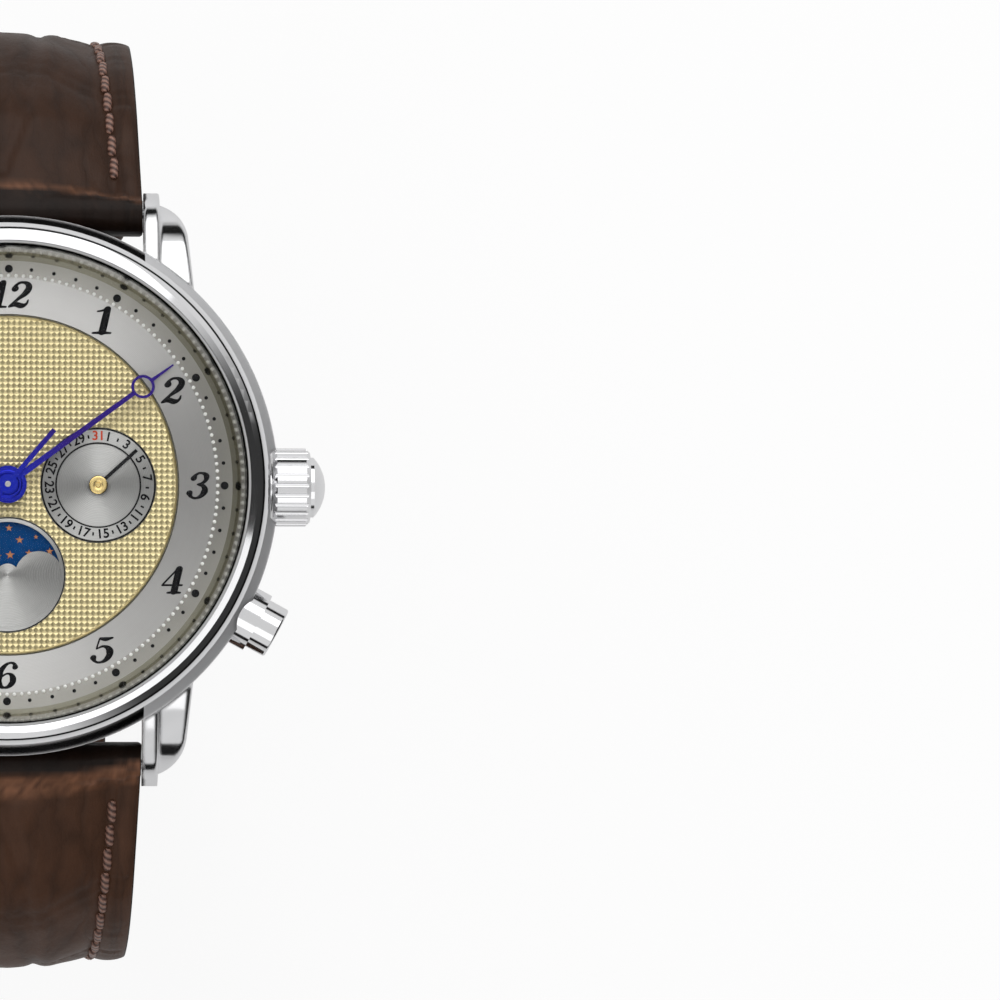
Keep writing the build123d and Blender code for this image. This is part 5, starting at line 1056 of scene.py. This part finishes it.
def lay_flat(height, slant):
    """A matrix that sizes a figure, leans it and presses it to a thin print."""
    lean = Matrix.Identity(4)
    lean[0][1] = slant
    return Matrix.Diagonal((height * 1.15 * MM, height * MM, 0.5 * MM, 1)) @ lean


figures = bmesh.new()
for hour in range(1, 13):
    middle = round_dial(hour * 30, numeral_circle, height=dial_top)
    letters = str(hour)
    for number, letter in enumerate(letters):
        offset = 0.1 + (number - 0.5) * 1.7 if len(letters) == 2 else 0
        pen_figure(figures, letter, middle + Vector((offset * MM, 0, 0)), 2.15)
numerals = finished("numerals", figures, black_print)
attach(numerals, "case")


# Centre of the dial: gilt metal cut by an engine into rows of small square pyramids, with a plain
# bright rim. The holes leave room for the three small dials and the hands.
gilding = handled_finish("gilding", (0.67, 0.58, 0.33), 1.0, 0.4, 0.34, 0.46)
date_centre, day_centre, moon_centre = (7.2, 0), (-7.2, 0), (0, -7.2)
cell = 0.455
cells = 60
pyramid_foot = 6.56
pyramid_rise = 0.1
sheet_thickness = 0.06
small_dial_radius = 4.63
pyramids = bmesh.new()
bmesh.ops.create_grid(pyramids, x_segments=cells, y_segments=cells, size=cell * cells / 2 * MM)
bmesh.ops.translate(pyramids, verts=pyramids.verts, vec=(0, 0, pyramid_foot * MM))
edge_of_sheet = [edge for edge in pyramids.edges if edge.is_boundary]
under = bmesh.ops.extrude_edge_only(pyramids, edges=edge_of_sheet)["geom"]
under_verts = [part for part in under if isinstance(part, bmesh.types.BMVert)]
bmesh.ops.translate(pyramids, verts=under_verts, vec=(0, 0, -sheet_thickness * MM))
top_faces = [face for face in pyramids.faces if len(face.verts) == 4 and abs(face.normal.z) > 0.9]
bmesh.ops.poke(pyramids, faces=top_faces, offset=pyramid_rise * MM)
bmesh.ops.holes_fill(pyramids, edges=[e for e in pyramids.edges if e.is_boundary], sides=0)
guilloche = finished("guilloche", pyramids, gilding, smooth=False)
disc = bmesh.new()
sheet_middle = Vector((0, 0, 6.6))
drum(disc, 13.4, 1, Matrix.Translation(sheet_middle * MM), 160)
cut(guilloche, disc, "INTERSECT")
holes = bmesh.new()
drum(holes, 1.25, 1, Matrix.Translation(sheet_middle * MM), 48)
for x, y in (date_centre, day_centre, moon_centre):
    drum(holes, small_dial_radius, 1, Matrix.Translation(Vector((x, y, sheet_middle.z)) * MM), 96)
cut(guilloche, holes)
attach(guilloche, "case")
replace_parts(guilloche, "dial_centre")


def band(name, material, outline, body, centre=(0, 0), segments=128):
    """A ring turned from an outline of (radius, height) corners in millimetres."""
    shape = bmesh.new()
    corners = [shape.verts.new((radius * MM, 0, height * MM)) for radius, height in outline]
    edges = [shape.edges.new(pair) for pair in zip(corners, corners[1:] + corners[:1])]
    bmesh.ops.spin(
        shape, geom=corners + edges, cent=(0, 0, 0), axis=(0, 0, 1), angle=tau, steps=segments,
        use_merge=True,
    )
    bmesh.ops.remove_doubles(shape, verts=shape.verts, dist=0.001 * MM)
    bmesh.ops.translate(shape, verts=shape.verts, vec=(centre[0] * MM, centre[1] * MM, 0))
    ring = finished(name, shape, material, angle=35)
    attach(ring, body)


rim_outline = [(13.38, 6.5), (13.55, 6.5), (13.55, 6.62), (13.47, 6.7), (13.38, 6.62)]
band("centre_rim", gilding, rim_outline, "case")
# A thin dark ring at the gilt centre's edge: painted shade where the silver ring steps up.
painted_shade_line = handled_finish("painted_shade_line", (0.06, 0.055, 0.035), 0.6, 0.4, 0.3, 0.5)
shade_line_outline = [(13.58, 6.7), (13.67, 6.7), (13.67, 6.76), (13.58, 6.76)]
band("centre_shade_line", painted_shade_line, shade_line_outline, "case")


# Small dials: silvered plates turned in fine rings round each hub, with a number ring outside. The
# date is on the right and a 24-hour dial, hidden in the photograph, on the left.
def small_dial_finish(name, centre):
    """Turned silver with a printed line inside its number ring, and painted shade as a dark line at
    its rim.
    """
    material, tree, shader, spot = finish(name, (0.5, 0.5, 0.49), 1.0, 0.24)
    radius, tones = turned(
        tree, shader, spot, 48.0, 0.0, (0.4, 0.4, 0.39), (0.66, 0.66, 0.65), centre, 0.4, 0.02
    )
    reach = 5.0
    # The zone from 4.44 mm to the rim is painted shade; the thin one at 3.3 mm is print.
    zones = [(0, 0.0), (3.3, 1.0), (3.42, 0.25), (4.44, 1.0)]
    stops = [(edge / reach, (shade,) * 3) for edge, shade in zones]
    zone = ramp_node(tree, sum_node(tree, "MULTIPLY", radius, 1 / reach), stops, "CONSTANT")
    print_line_and_rim_shade = sum_node(tree, "GREATER_THAN", zone, 0.5)
    is_ring = sum_node(tree, "GREATER_THAN", zone, 0.1)
    printed = mix_node(tree, print_line_and_rim_shade, tones, (0.03, 0.03, 0.03))
    tree.links.new(printed, shader.inputs["Base Color"])
    rough = sum_node(tree, "MULTIPLY_ADD", is_ring, 0.04, 0.48)
    tree.links.new(rough, shader.inputs["Roughness"])
    brushed_round(tree, shader)
    return material


dress(small_dial_finish("date_silver", date_centre), "date_subdial")
dress(small_dial_finish("day_silver", day_centre), "day_hours_subdial")

red_print = handled_finish(
    "red_print", (0.5, 0.055, 0.02), 0.0, 0.4, 0.3, 0.45, specular=0.15
)
figure_circle = 3.93
figure_level = 6.667
figure_size = 1.04


def print_number(shape, text, place, turn):
    """Adds a printed number to a bmesh, from the built-in font and turned about its own middle."""
    typed = bpy.data.curves.new("number", "FONT")
    typed.body = text
    typed.size = figure_size * MM
    typed.extrude = 0.008 * MM
    typed.offset = 0.024 * MM
    typed.align_x = "CENTER"
    typed.align_y = "CENTER"
    typed.resolution_u = 4
    writer = bpy.data.objects.new("number", typed)
    bpy.context.scene.collection.objects.link(writer)
    drawn = bpy.data.meshes.new_from_object(
        writer.evaluated_get(bpy.context.evaluated_depsgraph_get())
    )
    bpy.data.objects.remove(writer)
    drawn.transform(Matrix.Translation(place) @ Matrix.Rotation(radians(-turn), 4, "Z"))
    shape.from_mesh(drawn)
    bpy.data.meshes.remove(drawn)


def number_ring(name, centre, labels, step, red=()):
    """Numbers round a small dial with their tops outward, or towards the hub in the lower half."""
    black, coloured = bmesh.new(), bmesh.new()
    for number, text in enumerate(labels, start=1):
        angle = number * step
        place = round_dial(angle, figure_circle, centre, figure_level)
        if text:
            lower = 90 < angle % 360 < 270
            print_number(
                coloured if text in red else black, text, place, angle + 180 if lower else angle
            )
        else:
            turn = Matrix.Rotation(radians(-angle), 4, "Z")
            stretch = Matrix.Diagonal((0.07 * MM, 0.14 * MM, 0.01 * MM, 1))
            tick = Matrix.Translation(place) @ turn @ stretch
            bmesh.ops.create_cube(black, size=2, matrix=tick)
    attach(finished(name, black, black_print, smooth=False), "case")
    if red:
        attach(finished(name + "_red", coloured, red_print, smooth=False), "case")
    else:
        coloured.free()


odd_days = [str(day) if day % 2 else "" for day in range(1, 32)]
even_hours = ["" if hour % 2 else str(hour) for hour in range(1, 25)]
number_ring("date_numbers", date_centre, odd_days, 360 / 31, ("31",))
number_ring("day_hours_numbers", day_centre, even_hours, 15)


# Moon phase: a silvered plate with its two humps over a blue enamel disc that carries two gilt
# moons among stars. The moons are behind the humps, as at new moon.
moon_silver, tree, shader, spot = finish("moon_silver", (0.6, 0.6, 0.59), 1.0, 0.48)
brushed_round(tree, shader)
radius, tones = turned(
    tree, shader, spot, 48.0, 0.0, (0.4, 0.4, 0.39), (0.66, 0.66, 0.65), moon_centre, 0.4, 0.02
)
# A dark line at the plate's rim: painted shade where it meets the gilt centre.
painted_shade_edge = sum_node(tree, "GREATER_THAN", radius, 4.5)
printed = mix_node(tree, painted_shade_edge, tones, (0.04, 0.04, 0.04))
tree.links.new(printed, shader.inputs["Base Color"])
dress(moon_silver, "moon_plate")

night_enamel, tree, shader, spot = finish("night_enamel", (0.002, 0.045, 0.2), 0.0, 0.3, 0.1)
middle = mapped(tree, spot, Location=(0, -moon_centre[1], 0))
reach = add(tree, "ShaderNodeVectorMath", {0: middle}, operation="LENGTH").outputs["Value"]
far = sum_node(tree, "POWER", sum_node(tree, "MULTIPLY", reach, 0.23), 6.0)
cloud = sum_node(tree, "MULTIPLY_ADD", noise_node(tree, spot, 0.6, 3.0), 0.3, far)
sky = ramp_node(tree, cloud, [(0.0, (0.0, 0.2, 0.52)), (1.0, (0.0, 0.04, 0.15))])
tree.links.new(sky, shader.inputs["Base Color"])
handled(tree, shader, spot, 0.18, 0.34)
dress(night_enamel, "moon_disc")

copper_gilt = handled_finish("copper_gilt", (0.46, 0.2, 0.1), 1.0, 0.32, 0.25, 0.4)
disc_top = 6.235
stars = bmesh.new()
star_places = [
    (0.1, 3.75, 0.38), (0.95, 2.8, 0.42), (2.25, 3.05, 0.26), (3.35, 1.9, 0.4), (1.7, 1.75, 0.4),
    (0.2, 1.6, 0.46), (-0.75, 1.5, 0.36), (-1.4, 3.3, 0.3), (-2.6, 2.6, 0.42), (-3.5, 1.7, 0.3),
]
for turn in (1, -1):
    for x, y, size in star_places:
        known = len(stars.verts)
        place = Vector((x * turn, y * turn + moon_centre[1], disc_top))
        bmesh.ops.create_cone(
            stars, cap_ends=True, segments=10, radius1=size * 0.85 * MM, radius2=size * 0.68 * MM,
            depth=0.02 * MM, matrix=Matrix.Translation(place * MM),
        )
        stars.verts.ensure_lookup_table()
        for vert in stars.verts[known:]:
            arm = degrees(atan2(vert.co.y - place.y * MM, vert.co.x - place.x * MM)) + 18
            if round(arm / 36) % 2 == 0:
                middle_point = Vector((place.x * MM, place.y * MM, vert.co.z))
                vert.co = middle_point + (vert.co - middle_point) * 0.42
star_field = finished("stars", stars, copper_gilt, smooth=False)
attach(star_field, "moon")

moon_gilt, tree, shader, spot = finish("moon_gilt", (0.8, 0.66, 0.4), 1.0, 0.3)
seas = mix_node(tree, noise_node(tree, spot, 1.1, 4.0), (0.6, 0.45, 0.24), (0.88, 0.76, 0.5))
tree.links.new(seas, shader.inputs["Base Color"])
handled(tree, shader, spot, 0.25, 0.4, 0.2)
moons = bmesh.new()
for x in (-2.5, 2.5):
    place = Matrix.Translation(Vector((x, moon_centre[1], disc_top)) * MM)
    drum(moons, 1.7, 0.03, place, 48, 1.66)
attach(finished("two_moons", moons, moon_gilt, smooth=False), "moon")


# Hands: blued steel for the time, black for the date and the 24 hours. Brass and steel pins close
# the hubs.
blued_steel, tree, shader, spot = finish("blued_steel", (0.009, 0.011, 0.065), 1.0, 0.24)
flat_spot = mapped(tree, spot, Scale=(1, 1, 0))
from_hub = add(tree, "ShaderNodeVectorMath", {0: flat_spot}, operation="LENGTH")
along_hand = sum_node(tree, "MULTIPLY", from_hub.outputs["Value"], 0.06)
blues = ramp_node(tree, along_hand, [(0.0, (0.016, 0.03, 0.42)), (0.35, (0.04, 0.022, 0.2))])
tree.links.new(blues, shader.inputs["Base Color"])
handled(tree, shader, spot, 0.14, 0.28)
dress(blued_steel, "hour_hand", "minute_hand", "seconds_hand")

black_steel = handled_finish(
    "black_steel", (0.006, 0.006, 0.007), 0.0, 0.3, 0.22, 0.4, specular=0.2
)
dress(black_steel, "date_hand", "day_hours_hand")

for name, body, centre, high, radius, material in (
    ("seconds_pin", "seconds", (0, 0), 7.95, 0.24, plain_steel),
    ("date_pin", "date", date_centre, 6.92, 0.72, wheel_brass),
    ("day_hours_pin", "day_hours", day_centre, 6.92, 0.72, wheel_brass),
):
    outline = [
        (0, high), (radius, high), (radius, high + 0.05), (radius * 0.88, high + 0.08),
        (radius * 0.5, high + 0.08), (radius * 0.42, high + 0.05), (radius * 0.3, high + 0.05),
        (radius * 0.24, high + 0.1), (0, high + 0.1),
    ]
    band(name, material, outline, body, centre, 32)
band(
    "minute_hub_step", blued_steel,
    [(0.84, 7.54), (1.16, 7.54), (1.14, 7.6), (1.1, 7.62), (0.9, 7.62), (0.86, 7.6)], "minutes",
)


# Flange: a mirror-bright sloping wall between the dial and the crystal. Its colour holds light and
# dark bands set by height: a painted reflection of the rings it mirrors.
flange_top = 9.1
flange_mirror, tree, shader, spot = finish("flange_mirror", (0.5, 0.49, 0.42), 1.0, 0.08)
rise = add(tree, "ShaderNodeSeparateXYZ", {0: spot}).outputs["Z"]
given = {"Value": rise, "From Min": dial_top, "From Max": flange_top}
wall = add(tree, "ShaderNodeMapRange", given).outputs["Result"]
painted_reflection_bands = ramp_node(tree, wall, [
    (0.0, (0.6, 0.59, 0.5)), (0.34, (0.56, 0.55, 0.45)), (0.4, (0.3, 0.28, 0.2)),
    (0.56, (0.36, 0.34, 0.25)), (0.62, (0.62, 0.61, 0.57)), (0.9, (0.6, 0.6, 0.57)),
    (0.94, (0.2, 0.2, 0.19)), (1.0, (0.2, 0.2, 0.19)),
])
tree.links.new(painted_reflection_bands, shader.inputs["Base Color"])
handled(tree, shader, spot, 0.06, 0.16)
dress(flange_mirror, "dial_flange")


# Bezel and crystal: a polished steel ring that holds a domed sapphire in a nylon seal. The sapphire
# is coated against glare: its index is set far below the bare stone's, so that it mirrors little.
bezel_steel = handled_finish("bezel_steel", (0.76, 0.76, 0.77), 1.0, 0.05, 0.03, 0.09)
dress(bezel_steel, "bezel")

smoke_nylon = handled_finish("smoke_nylon", (0.4, 0.4, 0.4), 0.0, 0.3, 0.25, 0.45)
dress(smoke_nylon, "crystal_gasket")

sapphire, tree, shader, spot = finish("sapphire", (1, 1, 1), 0.0, 0.0)
shader.inputs["Transmission Weight"].default_value = 1.0
shader.inputs["IOR"].default_value = 1.06
handled(tree, shader, spot, 0.0, 0.006)
see_through = add(tree, "ShaderNodeBsdfTransparent")
is_shadow = add(tree, "ShaderNodeLightPath").outputs["Is Shadow Ray"]
lets_light = mix_shader(tree, is_shadow, shader, see_through)
tree.links.new(lets_light.outputs[0], tree.nodes["Material Output"].inputs["Surface"])
dress(sapphire, "crystal")


# Crown: a fluted steel knob with a polished cap, on a tube in the case.
crown_steel = handled_finish("crown_steel", (0.76, 0.76, 0.77), 1.0, 0.09, 0.05, 0.16)
dress(crown_steel, "crown", "crown_cap", "crown_tube")


# Pusher: a polished button in a tube screwed into the case flank.
pusher_steel = handled_finish("pusher_steel", (0.74, 0.74, 0.75), 1.0, 0.07, 0.04, 0.12)
dress(pusher_steel, "pusher_button", "pusher_tube")
